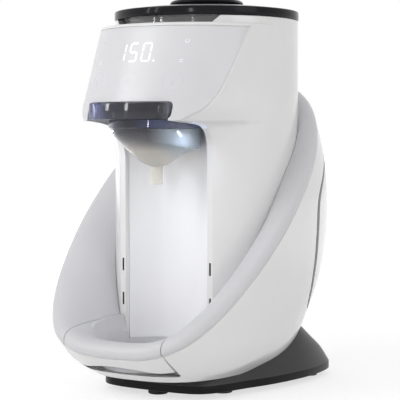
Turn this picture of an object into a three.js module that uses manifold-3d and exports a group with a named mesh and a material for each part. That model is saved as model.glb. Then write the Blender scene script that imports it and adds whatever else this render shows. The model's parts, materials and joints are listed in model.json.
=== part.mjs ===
// Infant formula maker and warmer: a round white tower with an overhanging display head,
// standing in a tilted egg-shaped shell with a rolled grey rim, on a black flared base.
// Millimetres, +Z up, the front looks along -Y. Pieces are laid out from the tower's axis,
// and the whole group is then moved so that the origin is under the middle of its footprint.
import * as THREE from 'three';
import { mergeVertices } from 'three/addons/utils/BufferGeometryUtils.js';
import Module from 'manifold-3d';

const wasm = await Module();
wasm.setup();

// Driving dimensions
const gap = 0.3;               // air between touching pieces
const overrun = 4;             // how far a cut runs past what it cuts
const sink = 1;                // how far joined solids run into each other
const weld = 1e-4;             // points closer than this are one
const towerRadius = 82;
const towerWall = 3;
const flatFrontY = -66.6;      // the flat the bay is sunk into
const nicheRadius = 46;
const nicheY = -84;
const deckZ = 316;             // deck of the head, in front of the collar
const collarTop = 323;
const collarNotchWidth = 100;
const headFrontTop = -103.4;   // front of the head at the panel's upper seam
const panelTopZ = 312.7;
const panelBottomZ = 234;
const panelLean = 0.397;       // forward travel for each millimetre down
const panelThickness = 3;

const eggHeight = 300;
const sideRoom = 24;           // room between the tower and the widest part of the shell
const rearRoom = 35;           // room for the tank behind the tower
const eggHalfWidth = towerRadius + sideRoom;
const eggFrontReach = 160;
const eggRearReach = towerRadius + rearRoom;
const eggMiddleY = -22;
const shellWall = 3;
const shellBottomZ = 18;
const rimPlaneZ = 182;         // height of the tilted seam above the tower's axis
const rimSlope = 0.96;
const rimWidth = 48;
const rimCrownHeight = 9.5;
const rimCentreY = -30;        // a point inside the ring, from which the rim is laid out

const trayWidth = 98;
const trayBottomZ = 25.6;
const trayFloorZ = 38;
const trayWall = 3;
const tailRise = 5;            // rim of the tray's round tail above its floor
const lipSeamRise = 8;         // places of the lip's outline, from the tray's floor and bottom
const lipWidestDrop = 5;
const lipLowRise = 2.2;
const lipBulge = 7.5;
const lipArch = 4;
const recessRise = 2.2;        // foot of the finger recess above the shell's floor
const trayShoulderZ = 70;
const basinY = -88;
const basinRadius = 46;
const basinFloorRadius = 27;

const baseBottomZ = 5;
const baseBandHeight = 7;
const baseTopZ = 54;
const baseFrontReach = 94;
const tailReach = 34;          // how far the base runs out behind the shell
const baseHalfWidth = 85;
const footRadius = 9;
const footPegRadius = 3;
const footPegHeight = 5;
const screwRadius = 2;
const screwHeadRadius = 3.8;
const screwHeadHeight = 3;
const screwSlotDepth = 1.2;

const lidRadius = 82.4;
const lidBandHeight = 7.7;
const lidWall = 2.4;
const lidEdge = 1;             // rounding of the lid's edges
const domeHeight = 5;
const sealWidth = 5;
const sealOverlap = 2;
const knobRadius = 33;
const knobHeight = 5.5;
const knobEdge = 2;
const knobRim = 7;             // rim left round the finger hollows
const hollowDepth = 3;
const bridgeHalf = 8;          // half the grip left between the hollows

const capWidth = 84;
const capHeight = 14.4;
const capBottomZ = 235;
const capWall = 2;
const capCorner = 12;
const capSetBack = 1.2;
const bandHeight = 7;
const bandProud = 1.6;
const funnelY = -80;
const funnelRadius = 39;
const funnelWall = 2;
const spoutRadius = 5.6;
const spoutBottomZ = 180;
const spoutTopZ = 195;

const tankBottomZ = 68;
const tankTopZ = 205;
const tankWall = 2.6;
const tankReveal = 4;
const valveRadius = 5;         // outlet spigot of the tank, low on its front wall
const valveZ = 94;
const valveReach = 14;

const hopperRadius = 75;
const hopperWall = 2;
const hopperFloor = 3;
const hopperBottomZ = 266;
const flangeThickness = 2.2;
const throatClear = 1;
const wheelRadius = 34;
const wheelThickness = 8;
const gearTeeth = 28;
const pinionTeeth = 9;
const wheelY = -26;
const pocketRing = 22;
const pocketRadius = 5;
const chuteRadius = 8;
const hubRadius = 8;
const shaftRadius = 3;
const bladeClear = 2.5;
const bladeHeight = 3;
const bladeWidth = 5;
const postHeight = 26;
const cupClear = 1.2;
const cupWall = 2;
const nozzleRadius = 3;
const nozzleBore = 1.8;
const nozzleX = 27;
const nozzleSetBack = 12;
const nozzleRise = 12;

const deckDrop = 10;           // space between the deck and the dosing cup
const deckThickness = 3;
const motorRadius = 13;
const motorHeight = 42;
const bossRadius = 7;
const bossHeight = 3;
const shaftDepth = 11;
const frameHalf = 50;
const frameSetBack = 4;
const frameThickness = 3;
const frameFoot = 14;
const windowDrop = 12;
const windowHeight = 18;
const heaterRadius = 15;
const heaterX = -26;
const heaterLowZ = 106;
const heaterHighZ = 196;
const portLength = 8;
const clampHeight = 8;
const clampThickness = 2;
const clampEar = 8;
const clampRise = 16;          // clamps stand this far in from the heater's ends
const pumpHalf = 14;
const pumpHeight = 34;
const pumpX = 22;
const pumpClear = 3;
const supplyDepth = 29;
const supplyHeight = 27;
const supplySetIn = 8;
const boardThickness = 1.6;
const boardLowZ = 96;
const boardHighZ = 176;
const boardWidth = 40;
const boardSetIn = 4;
const moduleHalf = 30;
const moduleLowZ = 272;
const moduleHighZ = 304;
const moduleThickness = 4;
const touchHalf = 48;
const touchLowZ = 254;
const touchHighZ = 266;
const inletHalf = 14;
const inletHeight = 16;
const inletDepth = 22;
const inletRise = 3;
const inletWall = 3;
const socketDepth = 15;
const hoseRadius = 3;
const flapHalf = 20;
const flapInset = 8;
const flapLength = 11;
const tankLidThickness = 2.4;
const spigotWall = 1.5;
const lampWidth = 5;
const lampLength = 22;

// Finishes
const finish = (color, roughness, metalness = 0, opacity = 1) =>
  new THREE.MeshStandardMaterial({ color, roughness, metalness, opacity, transparent: opacity < 1 });
const gloss = finish(0xf1eff0, 0.22);
const satinGrey = finish(0xcfcfd4, 0.42);
const floorGrey = finish(0xb3b2b6, 0.6);
const blackGloss = finish(0x17171a, 0.16);
const blackRubber = finish(0x151515, 0.85);
const smoked = finish(0x343846, 0.12, 0, 0.75);
const clear = finish(0xc9cdd2, 0.1, 0, 0.45);
const tankGrey = finish(0x8b8c90, 0.3, 0, 0.9);
const lampWhite = finish(0xeaf2ff, 0.3);
const steel = finish(0xa8aaad, 0.35, 1);
const brass = finish(0xc2a25a, 0.35, 1);
const board = finish(0x1f5a38, 0.55);
const innerPlastic = finish(0xd8d8d6, 0.6);
const silicone = finish(0xd9dde0, 0.5);

// Solids
const solidOf = (geometry) => {
  const bare = geometry.clone();
  bare.deleteAttribute('normal');
  bare.deleteAttribute('uv');
  const merged = mergeVertices(bare, weld);
  const mesh = new wasm.Mesh({
    numProp: 3,
    vertProperties: new Float32Array(merged.attributes.position.array),
    triVerts: new Uint32Array(merged.index.array),
  });
  mesh.merge();
  return new wasm.Manifold(mesh);
};

const geometryOf = (solid) => {
  const mesh = solid.getMesh();
  const geometry = new THREE.BufferGeometry();
  geometry.setAttribute('position', new THREE.BufferAttribute(mesh.vertProperties, 3));
  geometry.setIndex(new THREE.BufferAttribute(mesh.triVerts, 1));
  return geometry;
};

const join = (...solids) => solids.reduce((whole, next) => whole.add(next));
const cut = (solid, ...tools) => tools.reduce((rest, tool) => rest.subtract(tool), solid);
const largest = (solid) => solid.decompose().reduce((best,
  next) => (next.volume() > best.volume() ? next : best));
const common = (...solids) => solids.reduce((whole, next) => whole.intersect(next));

// A closed skin through equal rings of points, with a flat cap at each end
const loft = (rings) => {
  const count = rings[0].length;
  const positions = rings.flat().flatMap((p) => [p.x, p.y, p.z]);
  const index = [];
  for (let ring = 0; ring < rings.length - 1; ring += 1) {
    for (let i = 0; i < count; i += 1) {
      const a = ring * count + i;
      const b = ring * count + ((i + 1) % count);
      index.push(a, b, b + count, a, b + count, a + count);
    }
  }
  const capOf = (ring, flip) => {
    const flat = rings[ring].map((p) => new THREE.Vector2(p.x, p.y));
    const faces = THREE.ShapeUtils.triangulateShape(flat, []);
    const turned = THREE.ShapeUtils.area(flat) < 0;
    for (const [a, b, c] of faces) {
      const order = flip !== turned ? [a, c, b] : [a, b, c];
      index.push(...order.map((i) => i + ring * count));
    }
  };
  capOf(0, true);
  capOf(rings.length - 1, false);
  const geometry = new THREE.BufferGeometry();
  geometry.setAttribute('position', new THREE.Float32BufferAttribute(positions, 3));
  geometry.setIndex(index);
  return solidOf(geometry);
};

// A skin that closes on itself both ways, from equal closed sections set round a ring
const ringLoft = (sections) => {
  const count = sections[0].length;
  const positions = sections.flat().flatMap((p) => [p.x, p.y, p.z]);
  const index = [];
  for (let s = 0; s < sections.length; s += 1) {
    const next = (s + 1) % sections.length;
    for (let i = 0; i < count; i += 1) {
      const a = s * count + i;
      const b = s * count + ((i + 1) % count);
      const c = next * count + ((i + 1) % count);
      const d = next * count + i;
      index.push(a, b, c, a, c, d);
    }
  }
  const geometry = new THREE.BufferGeometry();
  geometry.setAttribute('position', new THREE.Float32BufferAttribute(positions, 3));
  geometry.setIndex(index);
  return solidOf(geometry);
};

const box = (x0, y0, z0, x1, y1, z1) => {
  const shape = new THREE.BoxGeometry(x1 - x0, y1 - y0, z1 - z0);
  shape.translate((x0 + x1) / 2, (y0 + y1) / 2, (z0 + z1) / 2);
  return solidOf(shape);
};

const cylinder = (radius, z0, z1, x = 0, y = 0, sides = 40, topRadius = radius) => {
  const shape = new THREE.CylinderGeometry(topRadius, radius, z1 - z0, sides);
  shape.rotateX(Math.PI / 2);
  shape.translate(x, y, (z0 + z1) / 2);
  return solidOf(shape);
};

// A cylinder that lies along Y above the tower's axis
const levelCylinder = (radius, y0, y1, z, sides) => {
  const shape = new THREE.CylinderGeometry(radius, radius, y1 - y0, sides);
  shape.translate(0, (y0 + y1) / 2, z);
  return solidOf(shape);
};

// A turned piece: profile points are radius and height
const turned = (profile, x = 0, y = 0, sides = 40) => {
  const shape = new THREE.LatheGeometry(profile.map(([r, z]) => new THREE.Vector2(r, z)), sides);
  shape.rotateX(Math.PI / 2);
  shape.translate(x, y, 0);
  return solidOf(shape);
};

// A flat outline raised along Z
const raised = (points, z0, z1) => {
  const shape = new THREE.Shape(points.map(([x, y]) => new THREE.Vector2(x, y)));
  const body = new THREE.ExtrudeGeometry(shape, { depth: z1 - z0, bevelEnabled: false });
  body.translate(0, 0, z0);
  return solidOf(body);
};

// A side outline (Y, Z) carried across X
const across = (points, x0, x1) => {
  const shape = new THREE.Shape(points.map(([y, z]) => new THREE.Vector2(y, z)));
  const body = new THREE.ExtrudeGeometry(shape, { depth: x1 - x0, bevelEnabled: false });
  const turn = new THREE.Matrix4().makeBasis(
    new THREE.Vector3(0, 1, 0), new THREE.Vector3(0, 0, 1), new THREE.Vector3(1, 0, 0));
  body.applyMatrix4(turn);
  body.translate(x0, 0, 0);
  return solidOf(body);
};

const tube = (points, radius, sides = 8, steps = 24) => {
  const path = new THREE.CatmullRomCurve3(points.map((p) => new THREE.Vector3(...p)));
  const section = new THREE.Shape();
  section.absarc(0, 0, radius, 0, Math.PI * 2);
  const options = { steps, extrudePath: path, bevelEnabled: false, curveSegments: sides / 2 };
  return solidOf(new THREE.ExtrudeGeometry(section, options));
};

const parts = new THREE.Group();
const add = (name, solid, material) => {
  const mesh = new THREE.Mesh(geometryOf(solid), material);
  mesh.name = name;
  parts.add(mesh);
  return solid;
};

// Smooth value between stations, by cubic Hermite with centred slopes
const between = (stations, values, at) => {
  const last = stations.length - 1;
  if (at <= stations[0]) return values[0];
  if (at >= stations[last]) return values[last];
  const i = stations.findIndex((s) => s > at) - 1;
  const slope = (k) => {
    const a = Math.max(k - 1, 0);
    const b = Math.min(k + 1, last);
    return (values[b] - values[a]) / (stations[b] - stations[a]);
  };
  const span = stations[i + 1] - stations[i];
  const t = (at - stations[i]) / span;
  const rise = values[i + 1] - values[i];
  const m0 = slope(i) * span;
  const m1 = slope(i + 1) * span;
  return values[i] + m0 * t + (3 * rise - 2 * m0 - m1) * t ** 2 + (m0 + m1 - 2 * rise) * t ** 3;
};

// Egg: squarish ovals stacked in Z; every table holds shares of the egg's own sizes
const eggStationShares = [0.055, 0.1, 0.15, 0.217, 0.3, 0.4, 0.517, 0.65, 0.75, 0.833, 0.9, 0.95];
const eggWidthShares = [0.6, 0.74, 0.83, 0.89, 0.945, 0.985, 1, 0.975, 0.925, 0.86, 0.78, 0.7];
const eggFrontShares = [0.735, 0.87, 0.955, 1, 1.02, 1, 0.92, 0.8, 0.68, 0.55, 0.45, 0.38];
const eggRearShares = [0.44, 0.53, 0.6, 0.7, 0.85, 0.955, 1, 0.965, 0.905, 0.84, 0.78, 0.73];
const eggExponent = 2.4;
const eggSides = 28;
const eggStations = eggStationShares.map((s) => s * eggHeight);

const eggSize = (z) => ({
  half: between(eggStations, eggWidthShares, z) * eggHalfWidth,
  front: between(eggStations, eggFrontShares, z) * -eggFrontReach,
  rear: between(eggStations, eggRearShares, z) * eggRearReach,
});

const eggRing = (z, inset = 0) => {
  const { half, front, rear } = eggSize(z);
  const ring = [];
  for (let i = 0; i < eggSides; i += 1) {
    const angle = (i / eggSides) * Math.PI * 2;
    const c = Math.cos(angle);
    const s = Math.sin(angle);
    const reach = s < 0 ? eggMiddleY - front : rear - eggMiddleY;
    const bend = 2 / eggExponent;
    const x = Math.sign(c) * Math.abs(c) ** bend * (half - inset);
    const y = eggMiddleY + Math.sign(s) * Math.abs(s) ** bend * (reach - inset);
    ring.push(new THREE.Vector3(x, y, z));
  }
  return ring;
};

const eggLevelShares = [0.09, 0.13, 0.18, 0.26, 0.37, 0.5, 0.63, 0.75, 0.85, 0.94];
const eggLevels = [shellBottomZ, ...eggLevelShares.map((s) => s * eggHeight)];

const eggSolid = (inset, floor) => {
  const levels = eggLevels.map((z) => Math.max(z, floor)).filter((z, i, all) => i === 0 || z > all[i - 1]);
  return loft(levels.map((z) => eggRing(z, inset)));
};

const eggInside = (p) => {
  const { half, front, rear } = eggSize(p.z);
  const reach = p.y < eggMiddleY ? eggMiddleY - front : rear - eggMiddleY;
  const share = (Math.abs(p.x) / half) ** eggExponent + (Math.abs(p.y - eggMiddleY) / reach) ** eggExponent;
  return share < 1;
};

// Tilted frame of the rim: along runs up the slope, off points away from the shell
const along = new THREE.Vector3(0, 1, rimSlope).normalize();
const off = new THREE.Vector3(0, -rimSlope, 1).normalize();
const sideways = new THREE.Vector3(1, 0, 0);
const rimCentre = new THREE.Vector3(0, rimCentreY, rimPlaneZ + rimCentreY * rimSlope);
const rimReach = eggHeight;

const rimPoint = (angle) => {
  const way = sideways.clone().multiplyScalar(Math.cos(angle)).addScaledVector(along, Math.sin(angle));
  let near = 0;
  let far = rimReach;
  for (let i = 0; i < 40; i += 1) {
    const middle = (near + far) / 2;
    if (eggInside(rimCentre.clone().addScaledVector(way, middle))) near = middle;
    else far = middle;
  }
  return rimCentre.clone().addScaledVector(way, near);
};

const slab = (low, high) => {
  const thickness = high - low;
  const shape = new THREE.BoxGeometry(rimReach * 2, rimReach * 2, thickness);
  shape.translate(0, 0, low + thickness / 2);
  shape.applyMatrix4(new THREE.Matrix4().makeBasis(sideways, along, off));
  shape.translate(rimCentre.x, rimCentre.y, rimCentre.z);
  return solidOf(shape);
};

// Rolled rim: shares of the rim's width inwards, and of the crown's height off the seam
const rimInShares = [0, -0.01, 0.04, 0.13, 0.27, 0.44, 0.62, 0.8, 1];
const rimOffShares = [0, 0.36, 0.74, 0.95, 1, 0.78, 0.2, -0.95, -3.05];
const rimUnderInShares = [1, 0.74, 0.34, 0.075];
const rimUnderOffShares = [-3.9, -1.75, -0.1, -0.9];
const rimSteps = 32;

const rimSection = (step) => {
  const angle = (step / rimSteps) * Math.PI * 2;
  const small = Math.PI / rimSteps / 4;
  const here = rimPoint(angle);
  const tangent = rimPoint(angle + small).sub(rimPoint(angle - small)).normalize();
  const inward = new THREE.Vector3().crossVectors(off, tangent).normalize();
  const place = (inShare, offShare) => here.clone()
    .addScaledVector(inward, inShare * rimWidth)
    .addScaledVector(off, offShare * rimCrownHeight);
  const top = rimInShares.map((share, i) => place(share, rimOffShares[i]));
  const under = rimUnderInShares.map((share, i) => place(share, rimUnderOffShares[i]));
  return [...top, ...under].reverse();
};

const eggOuter = eggSolid(0, shellBottomZ);
const eggInner = eggSolid(shellWall, shellBottomZ + shellWall);
const eggFit = eggSolid(shellWall + gap, shellBottomZ + shellWall + gap);
const belowSeam = slab(-rimReach, -gap / 2);
const aboveSeam = slab(gap / 2, rimReach);
const rollFull = ringLoft(Array.from({ length: rimSteps }, (_, step) => rimSection(step)));
const rollSeated = join(common(rollFull, aboveSeam), common(rollFull, eggFit));

// Tower and head: each level has a front arc, two straight cheeks and the round back.
// Below the panel the shares run up the fillet, from the flat front to the panel's lower edge.
const filletHeight = 39;
const filletHeightShares = [0, 0.3, 0.6, 0.82, 0.92, 0.975];
const filletReachShares = [0, 0.012, 0.08, 0.235, 0.47, 0.84];
const filletCreaseShares = [0.583, 0.595, 0.61, 0.614, 0.609, 0.595];
const filletBendShares = [0.03, 0.05, 0.13, 0.3, 0.64, 0.94];
const panelHeightShares = [0, 0.05, 0.114, 0.2, 0.33, 0.572, 1];
const panelCreaseShares = [0.59, 0.66, 0.738, 0.788, 0.83, 0.868, 0.92];
const panelHeight = panelTopZ - panelBottomZ;
const panelFront = (z) => headFrontTop - panelLean * (panelTopZ - z);
const headReach = panelFront(panelBottomZ) - flatFrontY;
const arcSteps = 8;
const backSteps = 13;

const filletLevels = filletHeightShares.map((share, i) => ({
  z: panelBottomZ - filletHeight * (1 - share),
  front: flatFrontY + headReach * filletReachShares[i],
  crease: towerRadius * filletCreaseShares[i],
  bend: towerRadius / filletBendShares[i],
}));
const panelLevels = panelHeightShares.map((share, i) => ({
  z: panelBottomZ + panelHeight * share,
  front: panelFront(panelBottomZ + panelHeight * share),
  crease: towerRadius * panelCreaseShares[i],
  bend: towerRadius,
}));
const columnFoot = { ...filletLevels[0], z: trayBottomZ };
const headRound = (deckZ - panelTopZ) / 2;
const deckLevels = [
  { z: panelTopZ + headRound, front: headFrontTop + headRound, crease: towerRadius * 0.92,
    bend: towerRadius },
  { z: deckZ, front: headFrontTop + headRound * 3, crease: towerRadius * 0.91, bend: towerRadius },
];
const towerLevels = [columnFoot, ...filletLevels, ...panelLevels, ...deckLevels];

const frontArc = ({ z, front, crease, bend }, setBack = 0, narrow = 0) => {
  const spread = Math.asin((crease - narrow) / bend);
  const points = [];
  for (let i = 0; i <= arcSteps; i += 1) {
    const angle = spread * ((2 * i) / arcSteps - 1);
    points.push(new THREE.Vector3(bend * Math.sin(angle), front + setBack + bend * (1 - Math.cos(angle)),
      z));
  }
  return points;
};

const towerRing = (level, inset = 0) => {
  const radius = towerRadius - inset;
  const arc = frontArc(level, inset, inset);
  const corner = arc[arcSteps];
  const distance = Math.hypot(corner.x, corner.y);
  const turn = Math.acos(Math.min(1, radius / distance));
  const first = Math.atan2(corner.y, corner.x) + turn;
  const last = Math.PI - first;
  const back = [];
  for (let i = 1; i <= backSteps; i += 1) {
    const angle = first + ((last - first) * i) / (backSteps + 1);
    back.push(new THREE.Vector3(radius * Math.cos(angle), radius * Math.sin(angle), level.z));
  }
  return [...arc, ...back];
};

const towerOuter = loft(towerLevels.map((level) => towerRing(level)));
const behindPanel = panelThickness + gap;
const cavityLevels = [
  { ...filletLevels[0], z: trayBottomZ - overrun },
  ...filletLevels,
  ...panelLevels.map((level) => ({ ...level, front: level.front + behindPanel })),
];
const cavity = loft(cavityLevels.map((level) => towerRing(level, towerWall)));

// Bay niche, and above it the dock for the mixing head and a channel for the collar that slides with it
const bandTop = capBottomZ - gap;
const bandRadius = funnelRadius + bandProud;
const collarChannel = box(-bandRadius - gap, -towerRadius * 2, bandTop - bandHeight - gap,
  bandRadius + gap, nicheY, capBottomZ);
const nicheTop = capBottomZ + gap;
const dockHalf = capWidth / 2 + gap;
const dockTop = capBottomZ + capHeight + gap;
const dock = (grow) => join(
  box(-dockHalf - grow, -towerRadius * 2, capBottomZ - gap - grow, dockHalf + grow, nicheY, dockTop + grow),
  cylinder(dockHalf + grow, capBottomZ - gap - grow, dockTop + grow, 0, nicheY, 36));
const niche = cylinder(nicheRadius, trayBottomZ - overrun, nicheTop, 0, nicheY, 32);
const nicheWall = cylinder(nicheRadius + towerWall, trayBottomZ - overrun * 2, nicheTop + towerWall, 0,
  nicheY, 32);
const chuteY = wheelY - pocketRing;
const nozzleY = chuteY - nozzleSetBack;
const chuteHole = cylinder(chuteRadius + gap, dockTop - gap, dockTop + towerWall * 2, 0, chuteY, 20);
const nozzleHole = cylinder(nozzleRadius + gap, dockTop - gap, dockTop + towerWall * 2, nozzleX, nozzleY,
  12);
const hopperMouth = cylinder(hopperRadius + gap, panelTopZ - overrun, collarTop + overrun, 0, 0, 36);

// Collar round the lid, lowered in front as a finger notch with sloping ends
const collarRing = cut(
  cylinder(towerRadius, deckZ - sink, collarTop, 0, 0, 36),
  cylinder(hopperRadius + gap, deckZ - overrun, collarTop + overrun, 0, 0, 36));
const notchHalf = collarNotchWidth / 2;
const notchRamp = (collarTop - deckZ) / 2;
const notchOutline = [
  [-notchHalf - notchRamp, collarTop + overrun], [-notchHalf - notchRamp, collarTop],
  [-notchHalf + notchRamp, deckZ], [notchHalf - notchRamp, deckZ],
  [notchHalf + notchRamp, collarTop], [notchHalf + notchRamp, collarTop + overrun],
];
const notchBody = new THREE.ExtrudeGeometry(
  new THREE.Shape(notchOutline.map(([x, z]) => new THREE.Vector2(x, z))),
  { depth: towerRadius * 2, bevelEnabled: false });
notchBody.rotateX(Math.PI / 2);
const notch = solidOf(notchBody);

const panelSkin = (setBack, thickness) => loft(panelLevels.map((level) => [
  ...frontArc(level, setBack),
  ...frontArc(level, setBack + thickness).reverse(),
]));

// The pocket follows the same arc, runs on past both creases and clears the panel above and below
const pocketArc = (level, setBack, run) => {
  const arc = frontArc(level, setBack);
  const end = arc[arcSteps].clone().sub(arc[arcSteps - 1]).setLength(run).add(arc[arcSteps]);
  return [new THREE.Vector3(-end.x, end.y, end.z), ...arc, end];
};
const pocketLevels = panelLevels.map((level, i) => ({
  ...level,
  z: level.z + (i === 0 ? -gap : 0) + (i === panelLevels.length - 1 ? gap : 0),
}));
const panelPocket = loft(pocketLevels.map((level) => [
  ...pocketArc(level, -overrun, overrun),
  ...pocketArc(level, panelThickness + gap, overrun).reverse(),
]));
const slotPlaces = [[1, 0.87], [-1, 0.87], [1, 0.475], [-1, 0.475]];
const slotX = 45.1;
const slotWidth = 2;
const slotHeight = 11;
const slotRise = 124;
const slots = slotPlaces.map(([side, share]) => box(
  side * slotX - slotWidth / 2, flatFrontY - overrun, slotRise * share - slotHeight / 2,
  side * slotX + slotWidth / 2, flatFrontY + towerWall / 2, slotRise * share + slotHeight / 2));

// Night lights: a lens let into the underside of the head on each side of the dock
const lampInner = dockHalf + towerWall + gap * 3;
const lampRearY = nicheY + lampWidth;
const lampBox = (side, grow) => {
  const near = side * (lampInner - grow);
  const far = side * (lampInner + lampWidth + grow);
  return box(Math.min(near, far), lampRearY - lampLength - grow, panelBottomZ - filletHeight / 2,
    Math.max(near, far), lampRearY + grow, panelBottomZ + panelThickness);
};
const sides = { left: -1, right: 1 };
const headSkin = cut(towerOuter, cavity);
for (const [place, side] of Object.entries(sides)) {
  add(`night_light_${place}`, largest(common(headSkin, lampBox(side, 0))), lampWhite);
}

const valvePort = levelCylinder(valveRadius + gap * 3, towerRadius - towerWall * 2, towerRadius + overrun,
  valveZ, 20);
const towerHousing = cut(
  join(towerOuter, cut(collarRing, notch)),
  cavity, niche, dock(0), hopperMouth, panelPocket, collarChannel, valvePort, ...slots,
  ...Object.values(sides).map((side) => lampBox(side, gap)));
const insideShell = join(aboveSeam, eggFit);
add('tower_housing', largest(common(towerHousing, insideShell)), gloss);

// Liner behind the bay: the round niche and, on top of it, the dock with holes for powder and water
const linerLevels = [{ ...cavityLevels[0], z: trayBottomZ }, ...cavityLevels.slice(1)];
const linerRoom = loft(linerLevels.map((level) => towerRing({ ...level, front: level.front + gap },
  towerWall + gap)));
const linerBody = cut(
  join(nicheWall, dock(towerWall)), niche, dock(0), collarChannel, chuteHole, nozzleHole);
add('bay_liner', largest(common(linerBody, linerRoom, insideShell)), gloss);
add('front_panel', cut(panelSkin(0, panelThickness), dock(0), collarChannel), gloss);

// Shell: an open egg cut off along the tilted seam
const front = -eggFrontReach * 2;
const faceOn = (points, y0, y1) => {
  const shape = new THREE.Shape(points.map(([x, z]) => new THREE.Vector2(x, z)));
  const body = new THREE.ExtrudeGeometry(shape, { depth: y1 - y0, bevelEnabled: false });
  body.rotateX(Math.PI / 2);
  body.translate(0, y1, 0);
  return solidOf(body);
};
const mirrored = (points) => [...points, ...points.map(([x, z]) => [-x, z]).reverse()];

// Front opening for the tray: its sides lean out below the seam, over a shallow finger recess
const trayHalf = trayWidth / 2;
const lipSeamZ = trayFloorZ + lipSeamRise;
const lipWidestZ = trayFloorZ - lipWidestDrop;
const lipLowZ = trayBottomZ + lipLowRise;
const recessLowZ = shellBottomZ + shellWall + recessRise;
const openingOutline = mirrored([
  [-trayHalf - gap, trayShoulderZ * 2], [-trayHalf - gap, lipSeamZ], [-trayHalf - lipBulge - gap,
    lipWidestZ],
  [-trayHalf - lipBulge / 2, trayBottomZ], [-trayHalf + lipBulge / 2, recessLowZ],
]);
const trayOpening = faceOn(openingOutline, front, nicheY);
const lipOutline = mirrored([
  [-trayHalf, trayShoulderZ * 2], [-trayHalf, lipSeamZ], [-trayHalf - lipBulge, lipWidestZ],
  [-trayHalf - lipBulge / 3, lipLowZ + lipArch / 2], [-trayHalf * 0.78, lipLowZ], [-trayHalf * 0.4,
  lipLowZ + lipArch * 0.7],
  [-trayHalf * 0.1, lipLowZ + lipArch],
]);
const shellBody = cut(common(eggOuter, belowSeam), eggInner);

// Water tank at the back: its front edge is an S-curve, seen from the side
const tankSeamShares = [[0.214, 0], [0.171, 0.1], [0.147, 0.32], [0.143, 0.59], [0.188, 0.72], [0.308,
  0.83],
  [0.444, 0.93], [0.53, 1]];
const tankOutline = (setBack, low, high) => {
  const edge = tankSeamShares.map(([reach, rise]) => [
    eggRearReach * reach + setBack, low + (high - low) * rise]);
  return [[eggRearReach * 2, low], [eggRearReach * 2, high], ...edge.reverse()];
};
const tankSide = (setBack, low, high) => across(tankOutline(setBack, low, high), -eggHalfWidth * 2,
  eggHalfWidth * 2);
const tankTop = tankTopZ + shellWall;
const tankCutout = tankSide(0, tankBottomZ, tankTop);
const towerClear = cylinder(towerRadius + gap * 3, 0, eggHeight, 0, 0, 40);
const tankZone = tankSide(tankReveal / 3, tankBottomZ + gap, tankTopZ);
const tankEgg = eggSolid(shellWall + gap * 2, tankBottomZ);
const tankBlock = cut(common(tankEgg, tankZone), towerClear);
const tankCore = cut(
  common(eggSolid(shellWall + gap * 2 + tankWall, tankBottomZ),
    tankSide(tankReveal / 3 + tankWall, tankBottomZ + tankWall, tankTopZ + overrun)),
  cylinder(towerRadius + gap * 3 + tankWall, 0, eggHeight, 0, 0, 40));
const tankInnerY = towerRadius + gap * 3;
const valveHole = levelCylinder(valveRadius + gap, tankInnerY - overrun, tankInnerY + tankWall + overrun,
  valveZ, 20);
const tankCover = common(cut(eggOuter, eggFit), tankSide(tankReveal, tankBottomZ + gap, tankTop - gap));
const shelfThickness = 5;
const shelfBottomZ = tankBottomZ - shelfThickness;
const tankShelf = cut(
  common(eggFit, box(-eggHalfWidth, 0, shelfBottomZ, eggHalfWidth, eggRearReach * 2, tankBottomZ)),
  cylinder(towerRadius + gap, 0, eggHeight, 0, 0, 40));

// Base: a low band with a skirt that rises and draws in behind the shell
const baseOutlineShares = [[0, -1], [0.33, -0.985], [0.54, -0.9], [0.665, -0.72], [0.78, -0.46], [0.89,
  -0.2],
  [0.96, 0.08], [1, 0.38], [0.99, 0.68], [0.93, 0.92], [0.8, 1], [0.4, 0.97]];
const baseSides = 28;
const baseRing = (z, halfWidth, frontReach, rearReach) => {
  const right = baseOutlineShares.map(([x, y]) => [x * halfWidth, y * (y < 0 ? frontReach : rearReach)]);
  const left = right.slice(1).map(([x, y]) => [-x, y]).reverse();
  const path = new THREE.CatmullRomCurve3(
    [...right, [0, rearReach * 0.95], ...left].map(([x, y]) => new THREE.Vector3(x, y, z)), true,
    'centripetal');
  return path.getPoints(baseSides).slice(0, baseSides);
};
const baseBandTop = baseBottomZ + baseBandHeight;
const inletBottomZ = baseBandTop + inletRise;
const inletTopZ = inletBottomZ + inletHeight;
const shellBack = eggSize(inletTopZ).rear;
const baseRearReach = shellBack + tailReach;
const inletY = shellBack + shellWall;
const skirtShares = [[0, 1, 1, 1], [0.36, 0.985, 0.86, 0.83], [0.65, 0.96, 0.7, 0.64], [1, 0.92, 0.55,
  0.42]];
const baseRings = [baseRing(baseBottomZ, baseHalfWidth, baseFrontReach, baseRearReach),
  ...skirtShares.map(([rise, wide, ahead,
  behind]) => baseRing(baseBandTop + (baseTopZ - baseBandTop) * rise,
    baseHalfWidth * wide, baseFrontReach * ahead, baseRearReach * behind))];
const eggCradle = loft(eggLevels.map((z, i) => eggRing(i === 0 ? z - gap : z, -gap)));
const onBase = ([x, y]) => [x * baseHalfWidth, y * (y < 0 ? baseFrontReach : baseRearReach)];
const footShares = {
  front: [0, -0.83], left: [-0.52, -0.47], right: [0.52, -0.47], rear_left: [-0.78, 0.73],
    rear_right: [0.78, 0.73],
};
const screwShares = [[-0.4, -0.66], [0.4, -0.66], [-0.47, 0.35], [0.47, 0.35]];
const screwPlaces = screwShares.map(onBase);
const screwTopZ = trayBottomZ - gap * 2;
const screwHole = ([x, y]) => join(
  cylinder(screwRadius + gap, baseBottomZ - overrun, screwTopZ + gap, x, y, 8),
  cylinder(screwHeadRadius + gap, baseBottomZ - overrun, baseBottomZ + screwHeadHeight + gap, x, y, 12));
const screwHoles = screwPlaces.map(screwHole);
const inletBody = box(-inletHalf, inletY, inletBottomZ, inletHalf, inletY + inletDepth, inletTopZ);
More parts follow.
